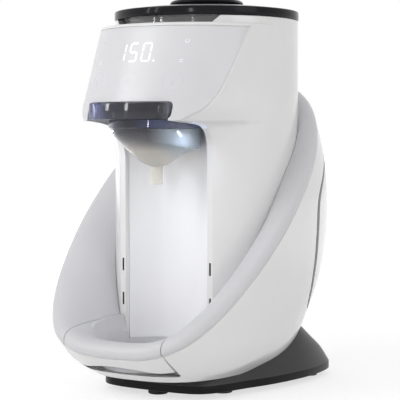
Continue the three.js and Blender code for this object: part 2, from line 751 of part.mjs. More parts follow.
const inletHood = box(-inletHalf - inletWall, inletY - inletWall, baseBottomZ,
  inletHalf + inletWall, inletY + inletDepth - gap, inletTopZ + inletWall);
const inletCut = box(-inletHalf - gap, inletY - gap, inletBottomZ - gap,
  inletHalf + gap, baseRearReach * 2, inletTopZ + gap);
const basePlate = cut(
  join(loft(baseRings), inletHood), eggCradle, inletCut, ...screwHoles,
  ...Object.values(footShares).map(onBase).map(([x, y]) =>
    cylinder(footPegRadius + gap, 0, baseBottomZ + footPegHeight + gap, x, y, 12)));
add('base_plate', largest(basePlate), blackGloss);

// Rubber foot with a grooved side and a peg
const footTop = baseBottomZ - gap;
for (const [place, shares] of Object.entries(footShares)) {
  const [x, y] = onBase(shares);
  const sole = footRadius * 0.93;
  const profile = [[0, 0], [sole, 0], [footRadius, footTop * 0.4],
    [footRadius, footTop], [footPegRadius, footTop], [footPegRadius, footTop + footPegHeight], [0,
    footTop + footPegHeight]];
  add(`foot_${place}`, turned(profile, x, y, 12), blackRubber);
}

screwPlaces.forEach(([x, y], i) => {
  const headTop = baseBottomZ + screwHeadHeight;
  const head = cylinder(screwHeadRadius, baseBottomZ + gap, headTop, x, y, 10);
  const slot = box(x - screwHeadRadius, y - gap * 2, baseBottomZ, x + screwHeadRadius, y + gap * 2,
    baseBottomZ + screwSlotDepth);
  add(`base_screw_${i + 1}`, join(cut(head, slot), cylinder(screwRadius, headTop - gap, screwTopZ, x, y,
    8)), steel);
});

// Chassis plate inside the shell, with the runners of the tray
const chassisBottomZ = shellBottomZ + shellWall + gap;
const chassisTopZ = trayBottomZ - gap;
const runnerWidth = 3;
const runnerHeight = 9;
const runner = (side) => box(
  Math.min(side * (trayHalf + gap), side * (trayHalf + gap + runnerWidth)),
  -basinRadius + basinY + runnerHeight,
  chassisTopZ - sink, Math.max(side * (trayHalf + gap), side * (trayHalf + gap + runnerWidth)),
  flatFrontY - towerWall, chassisTopZ + runnerHeight);
const chassis = cut(
  join(common(eggFit, box(-eggHalfWidth, front, chassisBottomZ, eggHalfWidth, -front, chassisTopZ)),
    common(eggFit, join(runner(-1), runner(1)))),
  ...screwPlaces.map(([x, y]) => cylinder(screwRadius + gap, 0, screwTopZ + gap, x, y, 8)));
add('chassis', chassis, innerPlastic);

const shell = cut(shellBody, trayOpening, tankCutout, ...screwPlaces.map(([x, y]) =>
  cylinder(screwRadius + gap, 0, screwTopZ, x, y, 8)));
add('outer_shell', largest(shell), gloss);
for (const [place, side] of Object.entries(sides)) {
  const half = box(Math.min(0, side * eggHalfWidth), 0, 0, Math.max(0, side * eggHalfWidth), eggRearReach,
    tankBottomZ);
  add(`tank_shelf_${place}`, largest(common(tankShelf, half)), innerPlastic);
}
add('water_tank', cut(tankBlock, tankCore, valveHole), tankGrey);
add('tank_cover', largest(tankCover), gloss);

// Rim, open in front where the tray closes the ring
const rimFront = box(-trayHalf - gap, front, 0, trayHalf + gap, nicheY + nicheRadius, rimPlaneZ);
add('rim_band', largest(cut(rollSeated, cylinder(towerRadius + gap, 0, eggHeight, 0, 0, 40), rimFront)),
  satinGrey);

// Drip tray: the front of the rim, a basin and a round tail that reaches into the niche
const trayTailTop = trayFloorZ + tailRise;
const trayPlan = join(
  box(-trayHalf, front, trayBottomZ, trayHalf, flatFrontY - gap, rimPlaneZ),
  cylinder(nicheRadius - gap, trayBottomZ, trayTailTop, 0, nicheY, 32));
const shoulderShares = [[0, 0], [0, 1], [0.3, 0.985], [0.5, 0.965], [0.56, 0.9], [0.57, 0]];
const shoulderDepth = flatFrontY - gap + eggFrontReach * 0.93;
const shoulderSide = shoulderShares.map(([back, rise]) => [
  flatFrontY - gap - shoulderDepth * back, trayBottomZ + (trayShoulderZ - trayBottomZ) * rise]);
const shoulder = across(shoulderSide, -trayHalf, trayHalf);
const basinShares = [[0.6, 0], [0.72, 0.04], [0.82, 0.16], [0.9, 0.38], [0.96, 0.68], [1, 1.1]];
const basinDepth = trayShoulderZ - trayFloorZ;
const basinSide = basinShares.map(([r, rise]) => [basinRadius * r, trayFloorZ + basinDepth * rise]);
const basin = turned([[0, trayFloorZ], ...basinSide, [0, trayFloorZ + basinDepth * 1.1]], 0, basinY, 32);
const tailHollow = cylinder(nicheRadius - gap - trayWall, trayFloorZ, trayShoulderZ * 2, 0, nicheY, 32);
const tailBlock = cylinder(nicheRadius - gap, trayBottomZ, trayTailTop, 0, nicheY, 32);
const trayBlock = common(join(rollSeated, shoulder, tailBlock), trayPlan, insideShell);
const trayBody = cut(trayBlock, basin, tailHollow);
const matThickness = 1.4;
const matTop = trayFloorZ + matThickness;
const matRadius = basinFloorRadius;
add('drip_tray', largest(trayBody), satinGrey);
add('tray_mat', turned([[0, trayFloorZ + gap], [matRadius, trayFloorZ + gap], [matRadius, matTop - gap],
  [matRadius - matThickness, matTop], [0, matTop]], 0, basinY, 28), floorGrey);
const lipSkin = common(cut(eggOuter, eggFit), faceOn(lipOutline, front, nicheY), belowSeam);
add('tray_lip', largest(lipSkin), gloss);

// Mixing head: it slides out of its dock, cap in front, funnel and spout underneath
const capFrontY = panelFront(capBottomZ + capHeight / 2) + capSetBack;
const capShape = (grow, z0, z1) => {
  const half = capWidth / 2 - grow;
  const shape = new THREE.Shape();
  shape.moveTo(-half, nicheY);
  shape.lineTo(-half, capFrontY + grow + capCorner * 1.5);
  shape.quadraticCurveTo(-half, capFrontY + grow + capCorner / 3, -half + capCorner,
    capFrontY + grow + capCorner / 6);
  shape.quadraticCurveTo(0, capFrontY + grow - capCorner / 5, half - capCorner,
    capFrontY + grow + capCorner / 6);
  shape.quadraticCurveTo(half, capFrontY + grow + capCorner / 3, half, capFrontY + grow + capCorner * 1.5);
  shape.lineTo(half, nicheY);
  shape.absarc(0, nicheY, half, 0, Math.PI, false);
  const body = new THREE.ExtrudeGeometry(shape, { depth: z1 - z0, bevelEnabled: false, curveSegments: 7 });
  body.translate(0, 0, z0);
  return solidOf(body);
};
const capTopZ = capBottomZ + capHeight;
const powderHole = cylinder(chuteRadius + gap * 3, capBottomZ, capTopZ + overrun, 0, chuteY, 20);
const waterHole = cylinder(nozzleRadius + gap * 3, capBottomZ, capTopZ + overrun, nozzleX, nozzleY, 12);
const capRoom = capShape(capWall, capBottomZ - overrun, capTopZ - capWall);
const capBody = cut(capShape(0, capBottomZ, capTopZ), capRoom, powderHole, waterHole);
add('mixing_cap', capBody, smoked);
const collarBand = cut(
  cylinder(bandRadius, bandTop - bandHeight, bandTop, 0, funnelY, 26),
  cylinder(bandRadius - funnelWall * 1.5, bandTop - bandHeight - overrun, bandTop + overrun, 0, funnelY, 26));
add('mixing_collar', collarBand, smoked);

// The funnel's mouth tilts down to the rear; the wall runs to a round spout
const mouthTilt = 0.2;
const funnelSides = 20;
const funnelTop = bandTop - bandHeight - gap;
const funnelShares = [[0.155, 0], [0.36, 0.14], [0.78, 0.6], [0.96, 0.86], [1, 1]];
const funnelSkin = (inset, extra) => {
  const rings = [[spoutRadius - inset, spoutBottomZ - extra], [spoutRadius - inset, spoutTopZ]];
  const build = rings.map(([radius, z]) => ({ radius, z, tilt: 0 }));
  for (const [share, rise] of funnelShares.slice(1)) {
    const z = spoutTopZ + (funnelTop - spoutTopZ) * rise;
    build.push({ radius: funnelRadius * share - inset, z, tilt: mouthTilt * (1 - rise) * rise * 3 });
  }
  if (extra > 0) build.push({ radius: funnelRadius - inset, z: funnelTop + extra, tilt: 0 });
  return loft(build.map(({ radius, z, tilt }) => Array.from({ length: funnelSides }, (_, i) => {
    const angle = (i / funnelSides) * Math.PI * 2;
    const y = radius * Math.sin(angle);
    return new THREE.Vector3(radius * Math.cos(angle), funnelY + y, z - y * tilt);
  })));
};
add('mixing_funnel', cut(funnelSkin(0, 0), funnelSkin(funnelWall, overrun)), clear);

// Powder container: a round top that draws in and forward to the dosing wheel
const flangeTop = collarTop + gap + flangeThickness;
const flangeRadius = lidRadius - lidWall - gap * 3;
const hopperSides = 30;
const hopperRing = (radius, y, z) => Array.from({ length: hopperSides }, (_, i) => {
  const angle = (i / hopperSides) * Math.PI * 2;
  return new THREE.Vector3(radius * Math.cos(angle), y + radius * Math.sin(angle), z);
});
const hopperThroat = wheelRadius + throatClear;
const hopperShoulderZ = hopperBottomZ + (collarTop - hopperBottomZ) * 0.5;
const hopperSkin = (inset, low, high) => loft([
  hopperRing(hopperThroat - inset, wheelY, low),
  hopperRing(hopperRadius - inset, 0, hopperShoulderZ),
  hopperRing(hopperRadius - inset, 0, high)]);
const floorOver = hopperBottomZ + hopperFloor + overrun;
const powderSlot = cylinder(pocketRadius, hopperBottomZ - overrun, floorOver, 0, wheelY + pocketRing, 16);
const powderSlotSide = cylinder(pocketRadius, hopperBottomZ - overrun, floorOver, pocketRing, wheelY, 16);
const flange = cylinder(flangeRadius, collarTop + gap, flangeTop, 0, 0, hopperSides);
const container = cut(
  join(hopperSkin(0, hopperBottomZ, flangeTop), flange),
  hopperSkin(hopperWall, hopperBottomZ + hopperFloor, flangeTop + overrun),
  cylinder(hubRadius, hopperBottomZ - overrun, hopperBottomZ + hopperFloor + overrun, 0, wheelY, 20),
  powderSlot, powderSlotSide);
add('powder_container', container, clear);

const gearShape = (teeth, unit, boreRadius, pockets) => {
  const pitch = (teeth * unit) / 2;
  const shape = new THREE.Shape();
  const toothShares = [[-0.3, -1.2], [-0.16, 0.95], [0.16, 0.95], [0.3, -1.2]];
  for (let tooth = 0; tooth < teeth; tooth += 1) {
    for (const [turn, depth] of toothShares) {
      const angle = ((tooth + turn * 0.92) / teeth) * Math.PI * 2;
      const radius = pitch + depth * unit;
      const x = radius * Math.cos(angle);
      const y = radius * Math.sin(angle);
      if (tooth === 0 && turn === toothShares[0][0]) shape.moveTo(x, y);
      else shape.lineTo(x, y);
    }
  }
  shape.closePath();
  const hole = (x, y, radius) => {
    const path = new THREE.Path();
    path.absarc(x, y, radius, 0, Math.PI * 2, true);
    shape.holes.push(path);
  };
  if (boreRadius > 0) hole(0, 0, boreRadius);
  for (let i = 0; i < pockets; i += 1) {
    const angle = (i / pockets) * Math.PI * 2;
    hole(pocketRing * Math.cos(angle), pocketRing * Math.sin(angle), pocketRadius);
  }
  return shape;
};
const gearSolid = (shape, x, y, z0, z1, turn = 0) => {
  const body = new THREE.ExtrudeGeometry(shape, { depth: z1 - z0, bevelEnabled: false, curveSegments: 5 });
  body.rotateZ(turn);
  body.translate(x, y, z0);
  return solidOf(body);
};
const wheelUnit = (wheelRadius * 2) / (gearTeeth + 2.4);
const wheelTop = hopperBottomZ - gap;
const wheelBottom = wheelTop - wheelThickness;
const pocketCount = 6;
const wheelShape = gearShape(gearTeeth, wheelUnit, shaftRadius, pocketCount);
add('dosing_wheel', gearSolid(wheelShape, 0, wheelY, wheelBottom, wheelTop), innerPlastic);

// Stirrer on the wheel's axis, inside the container
const stemRadius = hubRadius - gap * 2;
const stirrerFloor = hopperBottomZ + hopperFloor + gap * 3;
const bladeReach = hopperThroat - hopperWall - bladeClear;
const bladeTop = stirrerFloor + bladeHeight;
const blades = join(
  box(-bladeReach, wheelY - bladeWidth / 2, stirrerFloor, bladeReach, wheelY + bladeWidth / 2, bladeTop),
  box(-bladeWidth / 2, wheelY - bladeReach, stirrerFloor, bladeWidth / 2, wheelY + bladeReach, bladeTop));
const post = turned([[0, wheelTop + gap], [stemRadius, wheelTop + gap], [stemRadius, bladeTop],
  [stemRadius / 2, stirrerFloor + postHeight], [0, stirrerFloor + postHeight + bladeClear]], 0, wheelY, 20);
const fingerTop = stirrerFloor + postHeight * 0.7;
const fingers = [-1, 1].map((side) =>
  cylinder(bladeWidth / 2, stirrerFloor + sink, fingerTop, side * (bladeReach - bladeWidth), wheelY, 10));
const axle = cylinder(shaftRadius - gap, wheelBottom - sink, wheelTop + gap * 2, 0, wheelY, 12);
add('stirrer', join(post, blades, axle, ...fingers), innerPlastic);

// Dosing cup: holds the wheel under the container and drops the powder through its chute
const cupRadius = wheelRadius + cupClear;
const powderBore = pocketRadius + throatClear;
const cupFloorTop = wheelBottom - gap * 4;
const cupFloorBottom = dockTop + towerWall + gap;
const pinionUnitRadius = (pinionTeeth * wheelUnit) / 2;
const pinionY = wheelY + (gearTeeth * wheelUnit) / 2 + pinionUnitRadius;
const pinionClear = pinionUnitRadius + wheelUnit * 1.6;
const cupBody = cut(
  cylinder(cupRadius + cupWall, cupFloorBottom, wheelTop, 0, wheelY, 28),
  cylinder(cupRadius, cupFloorTop, wheelTop + overrun, 0, wheelY, 28),
  cylinder(pinionClear, cupFloorBottom - overrun, wheelTop + overrun, 0, pinionY, 24),
  cylinder(powderBore, cupFloorBottom - overrun, wheelTop, 0, chuteY, 16));
const chute = cut(
  cylinder(chuteRadius, dockTop + gap * 2, cupFloorTop - gap, 0, chuteY, 20),
  cylinder(powderBore, dockTop - overrun, wheelTop, 0, chuteY, 16));
add('dosing_cup', join(cupBody, chute), innerPlastic);

// Motor and pinion beside the wheel, on a deck across the tower
const deckBottom = cupFloorBottom - deckDrop;
const deckTop = deckBottom + deckThickness;
const motorTop = deckBottom - gap;
const hosePassX = -cupRadius - cupWall - hoseRadius * 3;
const hosePassY = wheelY + hoseRadius * 3.5;
const deckFrontY = nicheY + nicheRadius + towerWall + gap * 2;
const cavityFit = loft(cavityLevels.map((level) => towerRing(level, towerWall + gap)));
const mechanismDeck = cut(
  common(cavityFit, box(-towerRadius, deckFrontY, deckBottom, towerRadius, towerRadius, deckTop)),
  cylinder(shaftRadius + sink, deckBottom - overrun, deckTop + overrun, 0, pinionY, 16),
  cylinder(hoseRadius * 2, deckBottom - overrun, deckTop + overrun, hosePassX, hosePassY, 16));
add('mechanism_deck', mechanismDeck, innerPlastic);
const motorHollow = cylinder(shaftRadius, motorTop - shaftDepth - sink, motorTop + overrun, 0, pinionY, 16);
const motorBody = join(
  cylinder(motorRadius, motorTop - motorHeight, motorTop, 0, pinionY, 32),
  cylinder(bossRadius, motorTop - motorHeight - bossHeight, motorTop - motorHeight + sink, 0, pinionY, 20));
add('dosing_motor', cut(motorBody, motorHollow), steel);
const pinionTop = wheelTop - sink;
const pinionShape = gearShape(pinionTeeth, wheelUnit, 0, 0);
const halfTooth = Math.PI / pinionTeeth;
const pinionTurn = -Math.PI / 2 - halfTooth;
const pinionGear = gearSolid(pinionShape, 0, pinionY, wheelBottom + gap, pinionTop, pinionTurn);
const pinionShaft = cylinder(shaftRadius - gap, motorTop - shaftDepth, pinionTop - sink, 0, pinionY, 16);
add('motor_pinion', join(pinionGear, pinionShaft), brass);

// Lid, its seal and the turned knob
const lidBottom = collarTop + gap;
const lidEdgeTop = lidBottom + lidBandHeight;
const lidCeiling = lidEdgeTop - lidWall;
const domeTop = lidEdgeTop + domeHeight;
add('lid', turned([
  [0, lidCeiling], [lidRadius - lidWall, lidCeiling], [lidRadius - lidWall, lidBottom],
  [lidRadius - lidEdge / 2, lidBottom], [lidRadius, lidBottom + lidEdge / 2],
  [lidRadius, lidEdgeTop - lidEdge], [lidRadius - lidEdge, lidEdgeTop],
  [lidRadius * 0.93, lidEdgeTop + domeHeight * 0.12], [lidRadius * 0.7, lidEdgeTop + domeHeight * 0.62],
  [knobRadius + lidEdge * 3, lidEdgeTop + domeHeight * 0.92], [knobRadius, domeTop], [0, domeTop],
], 0, 0, 32), blackGloss);
const knobTop = domeTop + gap + knobHeight;
const knobBody = turned([
  [0, domeTop + gap], [knobRadius - knobEdge, domeTop + gap], [knobRadius, domeTop + knobHeight / 2],
  [knobRadius - knobEdge, knobTop - knobHeight * 0.1], [knobRadius - knobEdge * 2.5, knobTop], [0, knobTop],
], 0, 0, 24);
const hollowRadius = knobRadius - knobRim;
const hollow = (side) => cut(
  cylinder(hollowRadius, knobTop - hollowDepth, knobTop + overrun, 0, side * knobEdge, 20),
  cylinder(hollowRadius, knobTop - hollowDepth * 2, knobTop + overrun * 2, 0, -side * bridgeHalf, 20));
add('lid_knob', cut(knobBody, hollow(1), hollow(-1)), blackGloss);
const sealOuter = hopperRadius + sealOverlap;
const sealInner = sealOuter - sealWidth;
const sealLow = flangeTop + gap;
const sealHigh = lidCeiling - gap;
add('lid_seal', turned([[sealInner, sealLow], [sealOuter, sealLow], [sealOuter, sealHigh],
  [sealInner, sealHigh], [sealInner, sealLow]], 0, 0, 32), silicone);

// Service frame: an upright plate between the chassis and the deck, which carries the works
const frameY = deckFrontY + frameSetBack;
const frameTop = deckBottom - gap;
const frameBack = frameY + frameThickness;
const frameWindow = box(-frameHalf / 2, frameY - overrun, frameTop - windowDrop - windowHeight,
  frameHalf / 2, frameBack + overrun, frameTop - windowDrop);
const frameLow = trayBottomZ;
const serviceFrame = cut(join(
  box(-frameHalf, frameY, frameLow, frameHalf, frameBack, frameTop),
  box(-frameHalf, frameY, frameLow, frameHalf, frameBack + frameFoot, frameLow + frameThickness)),
  frameWindow);
const frameSeat = common(serviceFrame, join(aboveSeam, eggFit));
add('service_frame', largest(frameSeat), steel);

const heaterY = frameBack + gap + heaterRadius;
add('flow_heater', join(
  cylinder(heaterRadius, heaterLowZ, heaterHighZ, heaterX, heaterY, 24),
  cylinder(nozzleRadius, heaterLowZ - portLength, heaterLowZ + sink, heaterX, heaterY, 10),
  cylinder(nozzleRadius, heaterHighZ - sink, heaterHighZ + portLength, heaterX, heaterY, 10)), steel);
const clampPlaces = { lower: heaterLowZ + clampRise, upper: heaterHighZ - clampRise - clampHeight };
for (const [place, z] of Object.entries(clampPlaces)) {
  const earX = heaterRadius + clampEar;
  const top = z + clampHeight;
  const strap = cut(
    join(cylinder(heaterRadius + clampThickness, z, top, heaterX, heaterY, 24),
      box(heaterX - earX, frameBack + gap, z, heaterX + earX, frameBack + gap + clampThickness, top)),
    cylinder(heaterRadius + gap, z - overrun, top + overrun, heaterX, heaterY, 24),
    box(heaterX - heaterRadius, frameY, z - overrun, heaterX + heaterRadius, frameBack + gap, top + overrun));
  add(`heater_clamp_${place}`, largest(strap), steel);
}

const pumpLow = frameLow + frameThickness + gap;
const pumpY = frameBack + gap;
const pumpBackY = pumpY + pumpHalf * 1.4;
const pumpAxisY = pumpY + pumpHalf;
const pumpBlockTop = pumpLow + pumpHeight * 0.4;
const pumpTop = pumpLow + pumpHeight + portLength;
add('water_pump', join(
  box(pumpX - pumpHalf, pumpY, pumpLow, pumpX + pumpHalf, pumpBackY, pumpBlockTop),
  cylinder(pumpHalf * 0.85, pumpBlockTop - sink, pumpLow + pumpHeight, pumpX, pumpAxisY, 20),
  cylinder(nozzleRadius, pumpLow + pumpHeight - sink, pumpTop, pumpX, pumpAxisY, 10)), steel);

// Tank outlet: a spigot with a flange inside the tank, its socket in the tower, and the tank's lid
const spigotFront = tankInnerY - valveReach;
const spigotFlange = tankInnerY + tankWall + gap;
add('tank_valve', cut(
  join(levelCylinder(valveRadius, spigotFront, spigotFlange + spigotWall, valveZ, 20),
    levelCylinder(valveRadius + spigotWall, spigotFlange, spigotFlange + spigotWall, valveZ, 20)),
  levelCylinder(valveRadius - spigotWall, spigotFront - overrun, spigotFlange + overrun, valveZ, 16)),
  silicone);
const socketRadius = valveRadius + spigotWall * 2;
const socketFront = spigotFront - spigotWall;
add('valve_socket', cut(
  levelCylinder(socketRadius, socketFront, towerRadius - towerWall * 2, valveZ, 20),
  levelCylinder(valveRadius + gap, spigotFront - gap, towerRadius, valveZ, 20),
  levelCylinder(spigotWall, socketFront - overrun, towerRadius, valveZ, 10)), silicone);
const tankTopFront = eggRearReach * tankSeamShares.at(-1)[0] + tankReveal;
const tankLidBody = cut(
  common(eggFit, box(-eggHalfWidth, tankTopFront, tankTopZ + gap,
    eggHalfWidth, eggRearReach * 2, tankTopZ + gap + tankLidThickness)), towerClear);
const flapInner = towerRadius + flapInset;
const flapOuter = flapInner + flapLength;
const flapBox = (grow, low, high) => box(
  -flapHalf - grow, flapInner - grow, low, flapHalf + grow, flapOuter + grow, high);
const flapOpening = flapBox(gap, tankTopZ - overrun, tankTopZ + overrun * 2);
add('tank_lid', largest(cut(tankLidBody, flapOpening)), tankGrey);
add('tank_filler_flap', flapBox(0, tankTopZ + gap, tankTopZ + gap + tankLidThickness), tankGrey);

// Boards, power and display
add('control_board', box(frameHalf - boardSetIn - boardWidth, frameBack + gap, boardLowZ,
  frameHalf - boardSetIn, frameBack + gap + boardThickness, boardHighZ), board);
const supplyX = -frameHalf + supplySetIn;
const supplyWidth = pumpX - pumpHalf - pumpClear - supplyX;
const supplyY = frameBack + frameFoot + gap * 2;
const supplyBody = box(
  supplyX, supplyY, frameLow, supplyX + supplyWidth, supplyY + supplyDepth, frameLow + supplyHeight);
add('power_supply', supplyBody, innerPlastic);
const socketRoom = box(
  -inletHalf + inletWall, inletY + inletDepth - socketDepth, inletBottomZ + inletWall,
  inletHalf - inletWall, inletY + inletDepth + overrun, inletTopZ - inletWall);
add('power_inlet', cut(inletBody, socketRoom), blackGloss);
const bentPlate = (low, high, half, setBack, thickness) => loft([low, high].map((z) => {
  const level = { z, front: panelFront(z), crease: half, bend: towerRadius };
  return [...frontArc(level, setBack), ...frontArc(level, setBack + thickness).reverse()];
}));
const behindHousing = behindPanel + towerWall + gap * 4;
add('display_module', bentPlate(moduleLowZ, moduleHighZ, moduleHalf, behindHousing, moduleThickness),
  innerPlastic);
add('touch_board', bentPlate(touchLowZ, touchHighZ, touchHalf, behindHousing, boardThickness), board);
const nozzleTopZ = dockTop + towerWall + nozzleRise;
add('water_nozzle', cut(
  cylinder(nozzleRadius, dockTop + gap, nozzleTopZ, nozzleX, nozzleY, 12),
  cylinder(nozzleBore, dockTop - overrun, nozzleTopZ - towerWall, nozzleX, nozzleY, 10)), silicone);

// Hoses: tank valve to pump, pump to heater, heater to nozzle round the dosing cup
const bendRun = hoseRadius * 2;
const pumpInletZ = pumpLow + bendRun + sink;
add('hose_tank_pump', tube([
  [0, socketFront - gap, valveZ], [0, socketFront - bendRun * 2, valveZ], [pumpX * 0.2,
    socketFront * 0.53, valveZ * 0.83],
  [pumpX * 0.9, socketFront * 0.3, valveZ / 2], [pumpX, pumpBackY + bendRun * 2, pumpInletZ + sink],
  [pumpX, pumpBackY + bendRun, pumpInletZ], [pumpX, pumpBackY + gap * 2, pumpInletZ],
], hoseRadius, 8, 16), silicone);
const heaterPortZ = heaterLowZ - portLength - gap * 2;
add('hose_pump_heater', tube([
  [pumpX, pumpAxisY, pumpTop + gap * 2], [pumpX, pumpAxisY, pumpTop + bendRun],
  [pumpX - bendRun * 1.4, pumpAxisY, pumpTop + bendRun * 2.5], [heaterX + bendRun * 1.4, heaterY,
  heaterPortZ - bendRun * 2.2],
  [heaterX, heaterY, heaterPortZ - bendRun], [heaterX, heaterY, heaterPortZ],
], hoseRadius, 8, 14), silicone);
const heaterOutZ = heaterHighZ + portLength + gap * 2;
const hoseFrontY = chuteY - chuteRadius * 2 - bendRun;
add('hose_heater_nozzle', tube([
  [heaterX, heaterY, heaterOutZ], [heaterX, heaterY, heaterOutZ + bendRun],
  [(heaterX + hosePassX) * 0.55, heaterY, deckBottom - bendRun * 2.5], [hosePassX, hosePassY, deckBottom],
  [hosePassX, hosePassY - hoseRadius, deckTop + bendRun], [hosePassX, nozzleY * 0.72,
  wheelBottom + bendRun],
  [hosePassX * 0.7, hoseFrontY + bendRun, wheelTop + hoseRadius], [0, hoseFrontY - hoseRadius,
  wheelTop + bendRun],
  [nozzleX * 0.9, nozzleY - bendRun, wheelTop + hoseRadius * 3], [nozzleX, nozzleY, nozzleTopZ + bendRun],
  [nozzleX, nozzleY, nozzleTopZ + gap * 2],
], hoseRadius, 8, 28), silicone);

parts.updateMatrixWorld(true);
const whole = new THREE.Box3().setFromObject(parts);
parts.position.y = -(whole.min.y + whole.max.y) / 2;

export default parts;
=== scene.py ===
# Formula maker and bottle warmer: smooth casings, finishes, display, lamps and a plain studio.
# Lengths in the dictionaries are millimetres, laid out from the tower's axis; the front looks along -Y.
import json
import math
import bmesh
import bpy
import numpy as np
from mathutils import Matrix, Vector


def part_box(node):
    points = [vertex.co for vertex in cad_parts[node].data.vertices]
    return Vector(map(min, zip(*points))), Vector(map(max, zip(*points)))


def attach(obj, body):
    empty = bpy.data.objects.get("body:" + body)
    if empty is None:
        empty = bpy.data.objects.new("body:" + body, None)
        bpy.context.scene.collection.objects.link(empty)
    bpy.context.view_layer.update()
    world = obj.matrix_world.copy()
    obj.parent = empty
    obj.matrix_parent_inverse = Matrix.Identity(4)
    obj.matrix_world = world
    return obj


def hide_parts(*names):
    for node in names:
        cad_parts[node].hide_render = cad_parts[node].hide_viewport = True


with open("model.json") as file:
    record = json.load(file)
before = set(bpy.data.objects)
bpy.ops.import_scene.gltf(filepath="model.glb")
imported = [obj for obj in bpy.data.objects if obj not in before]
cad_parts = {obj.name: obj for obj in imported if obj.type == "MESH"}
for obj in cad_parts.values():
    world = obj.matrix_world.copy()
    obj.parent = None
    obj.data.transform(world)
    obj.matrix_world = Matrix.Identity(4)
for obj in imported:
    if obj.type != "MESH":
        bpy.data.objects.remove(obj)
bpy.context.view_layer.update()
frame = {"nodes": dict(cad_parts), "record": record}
for spare in ("Cube", "Light", "Camera"):
    if spare in bpy.data.objects:
        bpy.data.objects.remove(bpy.data.objects[spare])

mm = 0.001
lidLow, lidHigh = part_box("lid")
axisY = (lidLow.y + lidHigh.y) / 2      # the tower's axis in the frame
gap = 0.3                               # play between two pieces


def boxOf(node):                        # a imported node's corners, in millimetres from the tower's axis
    low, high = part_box(node)
    shift = Vector((0, axisY, 0))
    return (low - shift) / mm, (high - shift) / mm


# Outlines and rings of points
def unit(v):
    return v / np.linalg.norm(v, axis=-1, keepdims=True)


def eased(share):                       # 0 to 1, slow at both ends
    share = np.clip(share, 0, 1)
    return share * share * (3 - 2 * share)


def quadratic(a, b, c, count):          # from a to c, drawn towards b
    t = np.linspace(0, 1, count)[:, None]
    a, b, c = (np.array(point, float) for point in (a, b, c))
    return (1 - t) ** 2 * a + 2 * t * (1 - t) * b + t ** 2 * c


def rounded(outline, radius, steps=5):  # an outline with its corners rounded off
    outline = np.asarray(outline, float)
    result = []
    for i, corner in enumerate(outline):
        back = outline[i - 1] - corner
        ahead = outline[(i + 1) % len(outline)] - corner
        reach = min(radius, np.hypot(*back) * 0.45, np.hypot(*ahead) * 0.45)
        result.extend(quadratic(corner + unit(back) * reach, corner, corner + unit(ahead) * reach, steps))
    return np.array(result)


def bothSides(points):
    return list(points) + [(-x, z) for x, z in reversed(points)]


def circle(u, z, radius, count=24):
    turn = np.linspace(0, 2 * math.pi, count, endpoint=False)
    return np.stack([u + radius * np.cos(turn), z + radius * np.sin(turn)], -1)


def squarish(turn, power):              # unit oval: 2 is round, and more is squarer
    c, s = np.cos(turn), np.sin(turn)
    return np.sign(c) * np.abs(c) ** (2 / power), np.sign(s) * np.abs(s) ** (2 / power)


def atHeight(flat, z):
    return np.column_stack([flat, np.full(len(flat), z)])


def ringAt(radius, x, y, z, count):
    return atHeight(circle(x, y, radius, count), z)


# Mesh making
def solid(name, points, faces):
    mesh = bpy.data.meshes.new(name)
    placed = np.asarray(points, float) * mm + (0, axisY, 0)
    mesh.from_pydata(placed.tolist(), [], faces)
    piece = bpy.data.objects.new(name, mesh)
    bpy.context.scene.collection.objects.link(piece)
    work = bmesh.new()
    work.from_mesh(mesh)
    bmesh.ops.remove_doubles(work, verts=work.verts, dist=1e-7)
    bmesh.ops.recalc_face_normals(work, faces=work.faces)
    work.to_mesh(mesh)
    work.free()
    return piece


def loft(name, rings, closed=False):
    rings = np.asarray(rings, float)
    levels, count = rings.shape[:2]
    faces = []
    for level in range(levels if closed else levels - 1):
        above = (level + 1) % levels * count
        here = level * count
        for i in range(count):
            j = (i + 1) % count
            faces.append((here + i, here + j, above + j, above + i))
    if not closed:
        faces.append(tuple(range(count))[::-1])
        faces.append(tuple(range((levels - 1) * count, levels * count)))
    return solid(name, rings.reshape(-1, 3), faces)


def turned(name, profile, x=0.0, y=0.0, sides=96):   # profile points are radius and height
    rings = [ringAt(radius, x, y, z, sides) for radius, z in profile]
    return loft(name, rings, closed=profile[0] == profile[-1] or profile[0][0] > 0)


def prism(name, outline, axis, low, high):
    order = {"x": (2, 0, 1), "y": (0, 2, 1), "z": (0, 1, 2)}[axis]
    return loft(name, [atHeight(outline, depth)[:, order] for depth in (low, high)])


def block(name, low, high):
    outline = [(low[0], low[1]), (high[0], low[1]), (high[0], high[1]), (low[0], high[1])]
    return prism(name, outline, "z", low[2], high[2])


def column(name, radius, low, high, x=0.0, y=0.0, sides=128):
    return turned(name, [(0, low), (radius, low), (radius, high), (0, high)], x, y, sides)


def settle(piece):                      # turns the modifiers into the mesh itself
    graph = bpy.context.evaluated_depsgraph_get()
    graph.update()
    made = bpy.data.meshes.new_from_object(piece.evaluated_get(graph))
    old = piece.data
    piece.modifiers.clear()
    piece.data = made
    bpy.data.meshes.remove(old)
    return piece


def copyOf(piece, name):
    twin = bpy.data.objects.new(name, piece.data.copy())
    bpy.context.scene.collection.objects.link(twin)
    return twin


def combine(piece, operation, *tools):
    for tool in tools:
        step = piece.modifiers.new("carve", "BOOLEAN")
        step.operation = operation
        step.solver = "EXACT"
        step.object = tool
        settle(piece)
        bpy.data.objects.remove(tool)
    return piece


def cut(piece, *tools):
    return combine(piece, "DIFFERENCE", *tools)


def join(piece, *tools):
    return combine(piece, "UNION", *tools)


def common(piece, *tools):
    return combine(piece, "INTERSECT", *tools)


